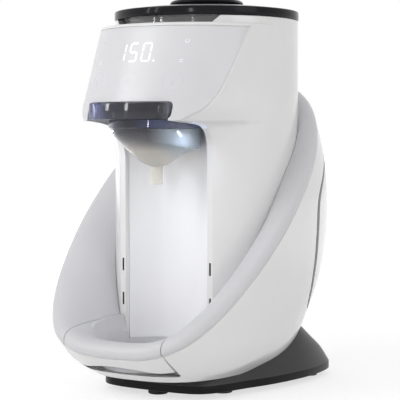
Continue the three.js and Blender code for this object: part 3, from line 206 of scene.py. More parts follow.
def keepLargest(piece):
    work = bmesh.new()
    work.from_mesh(piece.data)
    left = set(work.faces)
    groups = []
    while left:
        group = set()
        edge = [left.pop()]
        while edge:
            face = edge.pop()
            group.add(face)
            for near in (f for line in face.edges for f in line.link_faces):
                if near in left:
                    left.discard(near)
                    edge.append(near)
        groups.append(group)
    groups.sort(key=lambda group: -sum(face.calc_area() for face in group))
    bmesh.ops.delete(work, geom=[face for group in groups[1:] for face in group], context="FACES")
    work.to_mesh(piece.data)
    work.free()
    return piece


def smooth(piece, angle=32):
    piece.data.shade_smooth()
    piece.data.set_sharp_from_angle(angle=math.radians(angle))
    return piece


def soften(piece, width=0.5, segments=2, angle=40):
    edge = piece.modifiers.new("edge", "BEVEL")
    edge.width = width * mm
    edge.segments = segments
    edge.limit_method = "ANGLE"
    edge.angle_limit = math.radians(angle)
    edge.harden_normals = False
    return settle(piece)


def curveThrough(points, count, closed=False):       # smooth curve through points of any dimension
    points = np.asarray(points, float)
    if closed:
        points = np.vstack([points[-1], points, points[0], points[1]])
    else:
        points = np.vstack([2 * points[0] - points[1], points, 2 * points[-1] - points[-2]])
    spans = len(points) - 3
    result = []
    for at in np.linspace(0, spans, count, endpoint=not closed):
        i = min(int(at), spans - 1)
        t = at - i
        a, b, c, d = points[i:i + 4]
        result.append(0.5 * (2 * b + (c - a) * t + (2 * a - 5 * b + 4 * c - d) * t ** 2
                             + (3 * b - a - 3 * c + d) * t ** 3))
    return np.array(result)


def between(stations, values, at):      # cubic through the stations, with centred slopes
    stations = np.asarray(stations, float)
    values = np.asarray(values, float)
    at = np.clip(np.asarray(at, float), stations[0], stations[-1])
    i = np.clip(np.searchsorted(stations, at, side="right") - 1, 0, len(stations) - 2)
    low = np.maximum(np.arange(len(stations)) - 1, 0)
    high = np.minimum(np.arange(len(stations)) + 1, len(stations) - 1)
    slopes = (values[high] - values[low]) / (stations[high] - stations[low])
    span = stations[i + 1] - stations[i]
    t = (at - stations[i]) / span
    rise = values[i + 1] - values[i]
    m0 = slopes[i] * span
    m1 = slopes[i + 1] * span
    return values[i] + m0 * t + (3 * rise - 2 * m0 - m1) * t ** 2 + (m0 + m1 - 2 * rise) * t ** 3


# Shader maths: a socket that takes Python's operators
class Wire:
    def __init__(self, tree, socket):
        self.tree = tree
        self.socket = socket

    def maths(self, operation, first, second):
        return node(self.tree, "ShaderNodeMath", {"operation": operation}, [first, second])

    def __add__(self, other):
        return self.maths("ADD", self, other)

    def __radd__(self, other):
        return self.maths("ADD", other, self)

    def __sub__(self, other):
        return self.maths("SUBTRACT", self, other)

    def __mul__(self, other):
        return self.maths("MULTIPLY", self, other)

    def __gt__(self, other):
        return self.maths("GREATER_THAN", self, other)


def node(tree, kind, settings=None, inputs=(), output=0):
    made = tree.nodes.new(kind)
    for key, value in (settings or {}).items():
        if key == "stops":
            ramp = made.color_ramp
            while len(ramp.elements) < len(value):
                ramp.elements.new(0.5)
            for element, (place, color) in zip(ramp.elements, value):
                element.position = place
                element.color = color
        else:
            setattr(made, key, value)
    pairs = inputs.items() if isinstance(inputs, dict) else enumerate(inputs)
    for key, value in pairs:
        if isinstance(value, Wire):
            tree.links.new(value.socket, made.inputs[key])
        else:
            made.inputs[key].default_value = value
    return Wire(tree, made.outputs[output])


def material(name, color, roughness, **sockets):
    made = bpy.data.materials.new(name)
    made.use_nodes = True
    shader = made.node_tree.nodes["Principled BSDF"]
    shader.inputs["Base Color"].default_value = (*color, 1)
    shader.inputs["Roughness"].default_value = roughness
    for key, value in sockets.items():
        shader.inputs[key.replace("_", " ")].default_value = value
    return made


def feed(made, socket, wire):
    made.node_tree.links.new(wire.socket, made.node_tree.nodes["Principled BSDF"].inputs[socket])


def place(tree, scale=(1, 1, 1)):       # object coordinates, stretched
    here = node(tree, "ShaderNodeTexCoord", output="Object")
    return node(tree, "ShaderNodeMapping", {}, {"Vector": here, "Scale": scale})


def noise(tree, size, detail=3.0, scale=(1, 1, 1)):  # size is the grain in metres
    spots = {"Vector": place(tree, scale), "Scale": 1 / size, "Detail": detail}
    return node(tree, "ShaderNodeTexNoise", {}, spots)


def tint(tree, factor, first, second):
    mixed = {"Factor": factor, 6: (*first, 1), 7: (*second, 1)}
    return node(tree, "ShaderNodeMix", {"data_type": "RGBA"}, mixed, output=2)


def bump(made, height, strength, distance):
    raised = {"Height": height, "Strength": strength, "Distance": distance}
    feed(made, "Normal", node(made.node_tree, "ShaderNodeBump", {}, raised))


# Shell: squarish ovals stacked in Z and cut off along a tilted seam
egg = {
    "height": 300, "halfWidth": 105.9, "front": 159.9, "rear": 116.75, "middleY": -22, "power": 2.4,
    "squarer": 0.42, "squareFrom": 135, "squareTo": 45, "bottom": 18, "wall": 3, "seamZ": 182, "slope": 0.96,
    "seamWider": 0.2, "lip": 0.8, "sides": 192, "rows": 64, "solidTop": 0.94, "solidRows": 72,
    "levels": [0.055, 0.1, 0.15, 0.217, 0.3, 0.4, 0.517, 0.65, 0.75, 0.833, 0.9, 0.95],
    "widths": [0.6, 0.74, 0.83, 0.89, 0.945, 0.985, 1, 0.975, 0.925, 0.86, 0.78, 0.7],
    "fronts": [0.735, 0.87, 0.955, 1, 1.02, 1, 0.92, 0.8, 0.68, 0.55, 0.45, 0.38],
    "rears": [0.44, 0.53, 0.6, 0.7, 0.85, 0.955, 1, 0.965, 0.905, 0.84, 0.78, 0.73],
}
eggStations = np.array(egg["levels"]) * egg["height"]
fit = egg["wall"] + gap
seamGap = (gap / 2 + egg["seamWider"]) * math.hypot(1, egg["slope"])     # a little wide, so the seam shows
turns = np.linspace(0, 2 * math.pi, egg["sides"], endpoint=False)
quarter = np.radians([0, 30, 60, 90])   # steps of a small rounded edge
halvings = 40                           # steps of a search by halves


def eggReach(z):
    half = between(eggStations, egg["widths"], z) * egg["halfWidth"]
    front = between(eggStations, egg["fronts"], z) * egg["front"] + egg["middleY"]
    rear = between(eggStations, egg["rears"], z) * egg["rear"] - egg["middleY"]
    return half, front, rear


def eggPower(z, ahead):                 # the front half is squarer low down
    low = eased((egg["squareFrom"] - z) / (egg["squareFrom"] - egg["squareTo"]))
    return egg["power"] + np.where(ahead, egg["squarer"], 0) * low


def eggPoints(turn, z, inset=0.0):
    half, front, rear = eggReach(z)
    ahead = np.sin(turn) < 0
    across, along = squarish(turn, eggPower(z, ahead))
    reach = np.where(ahead, front, rear) - inset
    return np.stack([across * (half - inset), egg["middleY"] + along * reach, z], -1)


def eggSeam(turn, inset, drop):         # height at which the oval skin meets the tilted seam
    low = np.full(len(turn), float(egg["bottom"]))
    high = np.full(len(turn), egg["height"] * egg["levels"][-1])
    for _ in range(halvings):
        middle = (low + high) / 2
        y = eggPoints(turn, middle, inset)[:, 1]
        under = middle < egg["seamZ"] + egg["slope"] * y - drop
        low = np.where(under, middle, low)
        high = np.where(under, high, middle)
    return (low + high) / 2


def eggWall(name, outer, inner, floor):  # an open bowl between two insets, its lip on the seam
    rows = np.linspace(0, 1, egg["rows"])
    top = {inset: eggSeam(turns, inset, seamGap) for inset in (outer, inner)}
    bottom = {outer: egg["bottom"], inner: floor}
    skins = {}
    for inset in (outer, inner):
        heights = [bottom[inset] + (top[inset] - 2 * egg["lip"] - bottom[inset]) * t for t in rows]
        skins[inset] = [eggPoints(turns, z, inset) for z in heights]
    outerTop, innerTop = (eggPoints(turns, top[inset], inset) for inset in (outer, inner))
    across = unit(innerTop - outerTop)
    lip = []
    for corner, skin, way in ((outerTop, skins[outer], across), (innerTop, skins[inner], -across)):
        down = unit(skin[-1] - corner)
        centre = corner + (down + way) * egg["lip"]
        lip.append([centre - egg["lip"] * (way * math.cos(a) + down * math.sin(a)) for a in quarter])
    rings = skins[outer] + lip[0] + lip[1][::-1] + skins[inner][::-1]
    return loft(name, rings)


def eggSolid(name, inset, floor):
    heights = np.linspace(floor, egg["height"] * egg["solidTop"], egg["solidRows"])
    return loft(name, [eggPoints(turns, np.full(len(turns), z), inset) for z in heights])


def tilted(name, low, high):            # a slab along the seam
    reach = egg["height"] * 2
    slope = math.hypot(1, egg["slope"])
    outline = [(-reach, -reach), (reach, -reach), (reach, reach), (-reach, reach)]
    rings = [[(x, y / slope, egg["seamZ"] + egg["slope"] * y / slope + lift * slope)
              for x, y in outline] for lift in (low, high)]
    return loft(name, rings)


def outsideShell():                     # all that lies under the seam, but for the room inside the shell
    return cut(tilted("outside", -egg["height"], gap / 2),
               eggSolid("seat", fit, egg["bottom"] - egg["height"] / 2))


# Openings of the shell: the tray with its lip in front, the tank at the rear
tray = {
    "width": 98, "bottom": 25.6, "floor": 38, "shoulder": 70, "tailTop": 43, "tailWall": 3,
    "lipSeam": 46, "lipBulge": 0.4, "openBulge": 2.2, "lipWidest": 33, "lipLow": 27.8, "lipArch": 4,
    "recessLow": 24.3, "archShares": [(0.78, 0), (0.4, 0.7), (0.1, 1)],
    "basinY": -88, "basinRadius": 46.5, "basinSquare": 1.7, "squareBy": 0.7, "basinSteps": 24,
    "seamEdge": 0.45,                   # a little more gap, so the tray's side seam shows
    "shoulderReach": 0.93,
    "shoulderShares": [(0, 0), (0, 0.86), (0.3, 0.84), (0.5, 0.8), (0.56, 0.74), (0.57, 0)],
    "basinShares": [(0.6, 0), (0.72, 0.04), (0.82, 0.16), (0.9, 0.38), (0.96, 0.68), (1, 1.1)],
}
bay = {
    "nicheRadius": 46, "nicheY": -84, "flatY": -66.6, "wall": 3,
    "dockCorner": 5, "dockHalf": 42.3, "dockLow": 234.7, "dockHigh": 249.7,
    "channelHalf": 40.9, "channelLow": 227.4, "chute": (0, -48, 8.3), "nozzle": (27, -60, 3.3),
}
towerRadius = 82
hair = 0.02                             # keeps faces of joined solids from lying on each other
over = 4                                # how far a cutting solid runs past what it cuts
frontEnd = -2 * egg["front"]
frontRear = bay["nicheY"] - 20          # where the front of the shell ends
trayHalf = tray["width"] / 2
wideTray = trayHalf + gap
openingOutline = rounded(bothSides([
    (-wideTray, tray["shoulder"] * 2), (-wideTray, tray["lipSeam"]),
    (-wideTray - tray["openBulge"], tray["lipWidest"]), (-trayHalf - tray["openBulge"] / 2, tray["bottom"]),
    (-trayHalf + tray["openBulge"] / 2, tray["recessLow"])]), 3)
lipArch = [(-trayHalf * share, tray["lipLow"] + tray["lipArch"] * rise) for share, rise in tray["archShares"]]
lipOutline = rounded(bothSides([
    (-trayHalf, tray["shoulder"] * 2), (-trayHalf, tray["lipSeam"]),
    (-trayHalf - tray["lipBulge"], tray["lipWidest"]),
    (-trayHalf - tray["lipBulge"] / 3, tray["lipLow"] + tray["lipArch"] / 2), *lipArch]), 8, 7)

tank = {
    "bottom": 68, "top": 205, "wall": 2.6, "reveal": 6.5, "seamSteps": 40,
    "valveRadius": 5, "valveZ": 94, "valveDeep": 6,
    "seamShares": [(0.214, 0), (0.171, 0.1), (0.147, 0.32), (0.143, 0.59), (0.188, 0.72), (0.308, 0.83),
                   (0.444, 0.93), (0.53, 1)],
}
tankTop = tank["top"] + egg["wall"]


def tankSide(name, setBack, low, high):
    edge = curveThrough([(egg["rear"] * reach + setBack, low + (high - low) * rise)
                         for reach, rise in tank["seamShares"]], tank["seamSteps"])
    outline = [(egg["rear"] * 2, low), (egg["rear"] * 2, high), *edge[::-1]]
    return prism(name, outline, "x", -2 * egg["halfWidth"], 2 * egg["halfWidth"])


outerShell = keepLargest(cut(
    eggWall("outer_shell_skin", 0, egg["wall"], egg["bottom"] + egg["wall"]),
    prism("opening", openingOutline, "y", frontEnd, bay["nicheY"]),
    tankSide("tankCutout", 0, tank["bottom"], tankTop)))
ledge = common(eggSolid("ledge", egg["wall"] - hair, tray["recessLow"] - egg["wall"]),
               block("ledgeRoom", (-trayHalf, frontEnd, 0), (trayHalf, frontRear, tray["bottom"] - 2 * gap)))
join(outerShell, ledge)
trayLip = keepLargest(common(
    eggWall("tray_lip_skin", 0, fit, egg["bottom"] + fit),
    prism("lip", lipOutline, "y", frontEnd, bay["nicheY"])))
tankCover = keepLargest(common(
    eggWall("tank_cover_skin", 0, fit, egg["bottom"] + fit),
    tankSide("coverSide", tank["reveal"], tank["bottom"] + gap, tankTop - gap)))

tankFront = tank["reveal"] / 3
towerClear = towerRadius + 3 * gap
waterTank = cut(
    common(eggSolid("water_tank_body", fit, egg["bottom"] + fit),
           tankSide("tankSide", tankFront, tank["bottom"] + gap, tank["top"])),
    column("clear", towerClear, 0, egg["height"]))
tankCore = cut(
    common(eggSolid("core", fit + tank["wall"], egg["bottom"] + 3 * egg["wall"]),
           tankSide("coreSide", tankFront + tank["wall"], tank["bottom"] + tank["wall"],
                    tankTop + egg["wall"])),
    column("clearCore", towerClear + tank["wall"], 0, egg["height"]))
valve = circle(0, tank["valveZ"], tank["valveRadius"] * 1.1, 48)
cut(waterTank, tankCore)
cut(waterTank, prism("valveHole", valve, "y", towerRadius - over, towerRadius + tank["valveDeep"]))
print("shell, lip and tank made")

# Rim: a rolled band swept round the tilted seam, whose inner side falls off towards the front
rim = {
    "width": 48, "crown": 9.5, "steps": 220, "acrossSteps": 44, "centreY": -30,
    "top": [(0, 0), (-0.01, 0.36), (0.04, 0.74), (0.13, 0.95), (0.27, 1), (0.44, 0.78), (0.62, 0.2),
            (0.8, -0.95), (1, -3.05)],
    "under": [(1, -3.9), (0.74, -1.75), (0.34, -0.1), (0.075, -0.9)],
    "fall": 0.48, "fallFrom": 6, "fallEase": 4, "fallStart": 10, "fallFull": -32,
}
rimAlong = unit(np.array([0, 1, egg["slope"]]))
rimOff = unit(np.array([0, -egg["slope"], 1]))
rimCentre = np.array([0, rim["centreY"], egg["seamZ"] + rim["centreY"] * egg["slope"]])


def rimPoints(angle):                   # where rays in the seam's plane leave the shell
    way = np.stack([np.cos(angle), np.sin(angle) * rimAlong[1], np.sin(angle) * rimAlong[2]], -1)
    near = np.zeros(len(angle))
    far = np.full(len(angle), float(egg["height"]))
    for _ in range(halvings):
        middle = (near + far) / 2
        at = rimCentre + way * middle[:, None]
        half, front, rear = eggReach(at[:, 2])
        y = at[:, 1] - egg["middleY"]
        power = eggPower(at[:, 2], y < 0)
        share = (np.abs(at[:, 0]) / half) ** power + (np.abs(y) / np.where(y < 0, front, rear)) ** power
        near = np.where(share < 1, middle, near)
        far = np.where(share < 1, far, middle)
    return rimCentre + way * near[:, None]


def rimRoll(name):
    angle = np.linspace(0, 2 * math.pi, rim["steps"], endpoint=False)
    here = rimPoints(angle)
    small = math.pi / rim["steps"]
    inward = unit(np.cross(rimOff, unit(rimPoints(angle + small) - rimPoints(angle - small))))
    section = np.vstack([curveThrough(rim["top"], rim["acrossSteps"]), rim["under"]])
    reach, lift = section[:, :1], section[:, 1:]
    sections = np.array([here[i] + inward[i] * reach * rim["width"] + rimOff * lift * rim["crown"]
                         for i in range(rim["steps"])])
    past = section[:, 0] * rim["width"] - rim["fallFrom"]
    drop = rim["fall"] * (np.hypot(past, rim["fallEase"]) + past) / 2
    ahead = eased((here[:, 1] - rim["fallStart"]) / (rim["fallFull"] - rim["fallStart"]))
    sections[:, :, 2] -= ahead[:, None] * (drop - drop[0])
    return loft(name, sections, closed=True)


rimBand = cut(rimRoll("rim_band_roll"), outsideShell())
rollForTray = copyOf(rimBand, "drip_tray_body")
cut(rimBand, column("tower", towerRadius + gap, 0, egg["height"]),
    block("rimFront", (-wideTray, frontEnd, 0), (wideTray, bay["nicheY"] + bay["nicheRadius"], egg["seamZ"])))
keepLargest(rimBand)
print("rim made")

# Drip tray: the front of the rim, a basin and a round tail that reaches into the niche
seamEdge = tray["seamEdge"]
tailRadius = bay["nicheRadius"] - gap
shoulderRear = bay["flatY"] - gap
shoulderDepth = shoulderRear + egg["front"] * tray["shoulderReach"]
shoulderRise = tray["shoulder"] - tray["bottom"]
shoulderOutline = [(shoulderRear - shoulderDepth * back, tray["bottom"] + shoulderRise * rise)
                   for back, rise in tray["shoulderShares"]]
shoulder = prism("shoulder", shoulderOutline, "x", hair + seamEdge - trayHalf, trayHalf - seamEdge - hair)
common(shoulder, join(tilted("aboveSeam", gap / 2 + hair, egg["height"]),
                      eggSolid("fitEgg", fit + hair, egg["bottom"] + fit + hair)))
basinDepth = tray["shoulder"] - tray["floor"]
basinCurve = curveThrough([(r * tray["basinRadius"], tray["floor"] + basinDepth * rise)
                           for r, rise in tray["basinShares"]], tray["basinSteps"])
basinRings = []
for radius, z in basinCurve[1:]:        # round at its floor, squarer at its mouth
    risen = eased((z - tray["floor"]) / (basinDepth * tray["squareBy"]))
    across, along = squarish(turns, 2 + tray["basinSquare"] * risen)
    basinRings.append(atHeight(np.stack([across * radius, tray["basinY"] + along * radius], -1), z))
basin = loft("basin", basinRings)
tailHollow = column("hollow", tailRadius - tray["tailWall"], tray["floor"] + hair, tray["shoulder"] * 2,
                    0, bay["nicheY"])
tailBlock = column("tailBlock", tailRadius, tray["bottom"] + hair, tray["tailTop"], 0, bay["nicheY"])
dripTray = common(rollForTray, block("plan", (seamEdge - trayHalf, frontEnd, tray["bottom"]),
                                     (trayHalf - seamEdge, shoulderRear, egg["seamZ"])))
join(dripTray, shoulder, tailBlock)
cut(dripTray, basin, tailHollow)
keepLargest(dripTray)

# Dark bead in the seam under the rim, painted shade that stands for the shadow in the gap: one for the
# housing, one that leaves with the tray
bead = {"inset": 0.45, "low": -0.34, "high": 0.12}
beadHalf = trayHalf + gap / 2
frontRoom = (-beadHalf, frontEnd, 0), (beadHalf, frontRear, tray["shoulder"] * 1.2)
seamShadeBead = common(tilted("rim_seam_bead", bead["low"], bead["high"]),
                  eggSolid("beadOut", bead["inset"], egg["bottom"]))
cut(seamShadeBead, eggSolid("beadIn", fit - hair, egg["bottom"] - 1))
trayShadeBead = common(copyOf(seamShadeBead, "tray_seam_bead"), block("front", *frontRoom))
cut(seamShadeBead, block("front", *frontRoom))
print("tray made")

# Base: a low band with a skirt that rises and draws in behind the shell
base = {
    "bottom": 5, "band": 7, "top": 54, "front": 94, "rear": 96, "half": 85, "sides": 168, "skirtSteps": 22,
    "outline": [(0, -1), (0.34, -0.99), (0.57, -0.925), (0.7, -0.75), (0.79, -0.47), (0.89, -0.2),
                (0.96, 0.08), (1, 0.38), (0.99, 0.68), (0.93, 0.92), (0.8, 1), (0.4, 0.97)],
    "rearMiddle": 0.95, "edge": 0.9, "hood": 3, "skirtSheenFrom": 11.8,
    "skirt": [(0, 1, 1, 1), (0.36, 0.985, 0.86, 0.83), (0.65, 0.96, 0.7, 0.64), (1, 0.92, 0.55, 0.42)],
}


def baseRing(z, wide, ahead, behind, inset=0.0):
    half = base["half"] * wide - inset
    front, rear = base["front"] * ahead - inset, base["rear"] * behind - inset
    right = [(x * half, y * (front if y < 0 else rear)) for x, y in base["outline"]]
    around = right + [(0, rear * base["rearMiddle"])] + [(-x, y) for x, y in reversed(right[1:])]
    return atHeight(curveThrough(around, base["sides"], closed=True), z)


bandTop = base["bottom"] + base["band"]
edge = base["edge"]
lowEdge = [baseRing(base["bottom"] + edge * (1 - math.cos(a)), 1, 1, 1, edge * (1 - math.sin(a)))
           for a in quarter]
skirt = [baseRing(bandTop + (base["top"] - bandTop) * rise, wide, ahead, behind)
         for rise, wide, ahead, behind in curveThrough(base["skirt"], base["skirtSteps"])]
baseBody = loft("base_plate_body", lowEdge + skirt)
inletLow, inletHigh = boxOf("power_inlet")
cover = base["hood"]
hood = block("hood", (inletLow.x - cover, inletLow.y - cover, base["bottom"]),
             (inletHigh.x + cover, inletHigh.y - gap, inletHigh.z + cover))
inletCut = block("inletCut", (inletLow.x - gap, inletLow.y - gap, inletLow.z - gap),
                 (inletHigh.x + gap, base["rear"] * 2, inletHigh.z + gap))
join(baseBody, hood)
cut(baseBody, eggSolid("cradle", -gap, egg["bottom"] - gap), inletCut)
keepLargest(baseBody)
print("base made")

# Tower and head: each level has a front arc, two cheeks and the round back
tower = {
    "wall": 3, "deck": 316, "collarTop": 323, "mouth": 75.3, "notchHalf": 50, "notchRamp": 3.5, "fillet": 39,
    "filletShares": [0, 0.3, 0.6, 0.82, 0.92, 0.975, 1], "reach": [0, 0.012, 0.08, 0.235, 0.47, 0.84, 1],
    "filletCrease": [0.583, 0.595, 0.61, 0.614, 0.609, 0.595, 0.59], "filletSteps": 34,
    "curving": [0.03, 0.05, 0.13, 0.3, 0.64, 0.94, 1],
    "panelLow": 234, "panelHigh": 312.7, "panelFront": -103.4, "lean": 0.397, "panelSteps": 30,
    "panelShares": [0, 0.05, 0.114, 0.2, 0.33, 0.572, 1],
    "panelCrease": [0.59, 0.66, 0.738, 0.788, 0.83, 0.868, 0.92], "panelCrowd": 1.25,
    "deckAngles": [20, 40, 60, 75, 90], "deckRound": 1.5, "deckDraw": 0.01,
    "arc": 49, "back": 91, "cheek": 5, "creaseRound": 1.6, "creaseSteps": 6, "creaseClear": 0.2,
    "collarEdge": [(0, 0.8), (0.25, 0.25), (0.8, 0)], "mouthEdge": 0.5,
}


def panelFront(z):
    return tower["panelFront"] - tower["lean"] * (tower["panelHigh"] - z)


def frontArc(front, crease, bend, setBack=0.0, narrow=0.0):
    angle = np.linspace(-1, 1, tower["arc"]) * math.asin((crease - narrow) / bend)
    return np.stack([bend * np.sin(angle), front + setBack + bend * (1 - np.cos(angle))], -1)


def towerRing(level, inset=0.0, setBack=0.0):
    z, front, crease, curving = level
    radius = towerRadius - inset
    arc = frontArc(front, crease * towerRadius, towerRadius / curving, inset + setBack, inset)
    corner = arc[-1]
    first = math.atan2(corner[1], corner[0]) + math.acos(min(1, radius / np.hypot(*corner)))
    angle = np.linspace(first, math.pi - first, tower["back"])
    back = np.stack([np.cos(angle), np.sin(angle)], -1) * radius
    cheek = corner + (back[0] - corner) * np.linspace(0, 1, tower["cheek"] + 2)[1:-1, None]
    reach = min(tower["creaseRound"], np.hypot(*(cheek[0] - corner)) * 0.9)
    start = corner + unit(arc[-2] - corner) * reach
    bent = quadratic(start, corner, corner + unit(cheek[0] - corner) * reach, tower["creaseSteps"])
    inner = arc[np.abs(arc[:, 0]) < start[0] - tower["creaseClear"]]
    keep = np.linspace(inner[0], inner[-1], tower["arc"])
    keep[:, 1] = np.interp(keep[:, 0], arc[:, 0], arc[:, 1])
    right = np.vstack([bent, cheek])
    return atHeight(np.vstack([keep, right, back, right[::-1] * (-1, 1)]), z)


filletRise = panelFront(tower["panelLow"]) - bay["flatY"]
filletRows = [(tower["panelLow"] - tower["fillet"] * (1 - share), bay["flatY"] + filletRise * reach,
               crease, curving)
              for share, reach, crease, curving in
              zip(tower["filletShares"], tower["reach"], tower["filletCrease"], tower["curving"])]
filletLevels = curveThrough(filletRows, tower["filletSteps"])
panelHeight = tower["panelHigh"] - tower["panelLow"]
panelLevels = np.array([(tower["panelLow"] + panelHeight * t, panelFront(tower["panelLow"] + panelHeight * t),
                         between(tower["panelShares"], tower["panelCrease"], t), 1)
                        for t in np.linspace(0, 1, tower["panelSteps"]) ** tower["panelCrowd"]])
deckRise = tower["deck"] - tower["panelHigh"]
deckLevels = [(tower["panelHigh"] + deckRise * math.sin(a),
               tower["panelFront"] + deckRise * tower["deckRound"] * (1 - math.cos(a)),
               tower["panelCrease"][-1] - tower["deckDraw"] * (1 - math.cos(a)), 1)
              for a in np.radians(tower["deckAngles"])]
footLevel = (tray["bottom"], *filletLevels[0][1:])
innerLevels = [*filletLevels[:-1], *[level + (0, fit, 0, 0) for level in panelLevels]]
hollowLevels = [(tray["bottom"] - over, *filletLevels[0][1:]), *innerLevels]


def hollow():
    return loft("hollow", [towerRing(level, tower["wall"]) for level in hollowLevels])


def dock(name, grow):
    half = bay["dockHalf"] + grow
    low, high = bay["dockLow"] - grow, bay["dockHigh"] + grow
    corners = rounded([(-half, low), (half, low), (half, high), (-half, high)], bay["dockCorner"] + grow, 7)
    return join(prism(name, corners, "y", frontEnd, bay["nicheY"]),
                column("dockRear", half - hair, low + hair, high - hair, 0, bay["nicheY"]))


def channel():
    half = bay["channelHalf"]
    return block("channel", (-half, frontEnd, bay["channelLow"]), (half, bay["nicheY"], bay["dockLow"] + 1))


def niche(name, grow, low, high):
    return column(name, bay["nicheRadius"] + grow, low, high, 0, bay["nicheY"])


def nicheRoom():
    return niche("nicheRoom", 0, tray["bottom"] - over, bay["dockLow"] + 1)


def ports(grow, low, high):             # ways in for powder and water
    return [column("port", r + grow, low, high, x, y, 48) for x, y, r in (bay["chute"], bay["nozzle"])]


nightLight = {"wide": 5, "ahead": 17, "behind": 5}
lensInner = bay["dockHalf"] + tower["wall"] + 3 * gap


def lensBlock(side, grow):              # room of a night light beside the dock
    x = sorted((side * lensInner, side * (lensInner + nightLight["wide"])))
    front, rear = bay["nicheY"] - nightLight["ahead"], bay["nicheY"] + nightLight["behind"]
    return block("lens", (x[0] - grow, front - grow, tower["panelLow"] - tower["fillet"] / 2),
                 (x[1] + grow, rear + grow, tower["panelLow"] + tower["wall"]))


def panelBand(level, front, rear, side=0):  # strip between two set-backs, with straight ends of a given width
    rows = []
    for setBack in (front, rear):
        arc = frontArc(level[1], level[2] * towerRadius, towerRadius, setBack)
        end = arc[-1] + unit(arc[-1] - arc[-2]) * side
        rows.append(np.vstack([end * (-1, 1), arc, end]) if side else arc)
    return np.vstack([rows[0], rows[1][::-1]])


def pocket():                           # where the front panel sits
    rings = [atHeight(panelBand(level, -over, fit, over), level[0]) for level in panelLevels]
    rings[0][:, 2] -= gap
    rings[-1][:, 2] += gap
    return loft("pocket", rings)


slitMark = {"x": 45.1, "half": 1, "tall": 5.5, "deep": 1.5, "thick": 0.35, "heights": (108.2, 78)}


def slit(side, z, inset=0.0):           # a slot in the dock's wall, or with an inset the dark piece in it
    half, tall = slitMark["half"] - inset, slitMark["tall"] - inset
    rear = bay["flatY"] + slitMark["deep"]
    front = rear - slitMark["thick"] if inset else bay["flatY"] - over
    centre = side * slitMark["x"]
    return block("slit", (centre - half, front, z - tall), (centre + half, rear - inset, z + tall))


slits = [(side, z) for side in (-1, 1) for z in slitMark["heights"]]
towerBody = loft("tower_housing_body", [towerRing(level) for level in
                                        (footLevel, *filletLevels[:-1], *panelLevels, *deckLevels)])
headSkin = cut(copyOf(towerBody, "headSkin"), hollow())
lamps = [common(copyOf(headSkin, f"night_light_{name}_lens"), lensBlock(side, 0))
         for side, name in ((-1, "left"), (1, "right"))]
bpy.data.objects.remove(headSkin)
cut(towerBody, hollow(), nicheRoom(), dock("dock", 0), channel(),
    column("mouth", tower["mouth"], tower["panelHigh"] - over, tower["collarTop"] + over), pocket(),
    *[slit(*at) for at in slits], lensBlock(-1, gap), lensBlock(1, gap), outsideShell())
keepLargest(towerBody)

mouth, deck, collarTop = tower["mouth"], tower["deck"], tower["collarTop"]
collarSide = [(towerRadius - off, collarTop - down) for off, down in tower["collarEdge"]]
collar = turned("collar", [
    (mouth, deck), (towerRadius, deck), *collarSide,
    (mouth + tower["mouthEdge"], collarTop), (mouth, collarTop - tower["mouthEdge"])], sides=192)
notchWide = tower["notchHalf"] + tower["notchRamp"]
notchOutline = bothSides([(-notchWide, collarTop + over), (-notchWide, collarTop),
                          (-tower["notchHalf"] + tower["notchRamp"], deck - hair)])
cut(collar, prism("notch", notchOutline, "y", frontEnd, 0))
print("tower made")

# Liner of the bay: the round niche and the dock above it
bayLiner = join(niche("bay_liner_body", bay["wall"], tray["bottom"], bay["dockLow"] + over),
                dock("dockShell", bay["wall"]))
linerPorts = ports(0, bay["dockHigh"] - 1, bay["dockHigh"] + 6)
cut(bayLiner, nicheRoom(), dock("dockRoom", 0), channel(), *linerPorts)
linerRings = [towerRing(level, tower["wall"] + gap, gap) for level in (footLevel, *innerLevels)]
common(bayLiner, loft("linerRoom", linerRings))
cut(bayLiner, outsideShell())
keepLargest(bayLiner)

# Front panel: a thin bent skin that leans forward
panelRings = [atHeight(panelBand(level, 0, tower["wall"]), level[0]) for level in panelLevels]
frontPanel = keepLargest(cut(loft("front_panel_skin", panelRings), dock("dockCut", 0), channel()))
print("bay and panel made")

# Mixing head: smoked cap and band, clear funnel with a round spout
head = {
    "capWidth": 84, "corner": 12, "low": 235, "high": 249.4, "wall": 2, "edge": 1.1,
    "edgeAngles": [0, 22, 45, 67, 90], "endRound": 2.4, "setBack": 1.2, "roofInset": 9, "roofLap": 1,
    "bandRadius": 40.6, "bandWall": 3, "bandLow": 227.7, "bandHigh": 234.7, "bandEdge": 0.5, "centreY": -80,
    "funnel": 39, "top": 227.4, "spout": 5.6, "spoutTop": 195, "spoutLow": 180, "spoutStraight": 6,
    "shares": [(0.144, 0), (0.36, 0.14), (0.78, 0.6), (0.96, 0.86), (1, 1)], "funnelSteps": 36,
    "hang": 13.5, "hangTurn": 32.3, "hangFull": 0.87, "tintLow": 196, "tintHigh": 227,
}
roofLow, roofHigh = head["high"] - head["wall"], head["high"]


def capRing(inset, z):
    half = head["capWidth"] / 2 - inset - min(inset, head["edge"]) * head["endRound"]
    front = panelFront((head["low"] + head["high"]) / 2) + head["setBack"] + inset
    corner = head["corner"]
    shoulderX, shoulderY = half - corner, front + corner / 6
    left = quadratic((-half, front + corner * 1.5), (-half, front + corner / 3), (-shoulderX, shoulderY), 12)
    face = quadratic((-shoulderX, shoulderY), (0, front - corner / 5), (shoulderX, shoulderY), 30)
    turn = np.linspace(0, math.pi, 49)
    rear = np.stack([half * np.cos(turn), bay["nicheY"] + half * np.sin(turn)], -1)
    return atHeight(np.vstack([left, face[1:-1], (left * (-1, 1))[::-1], rear]), z)


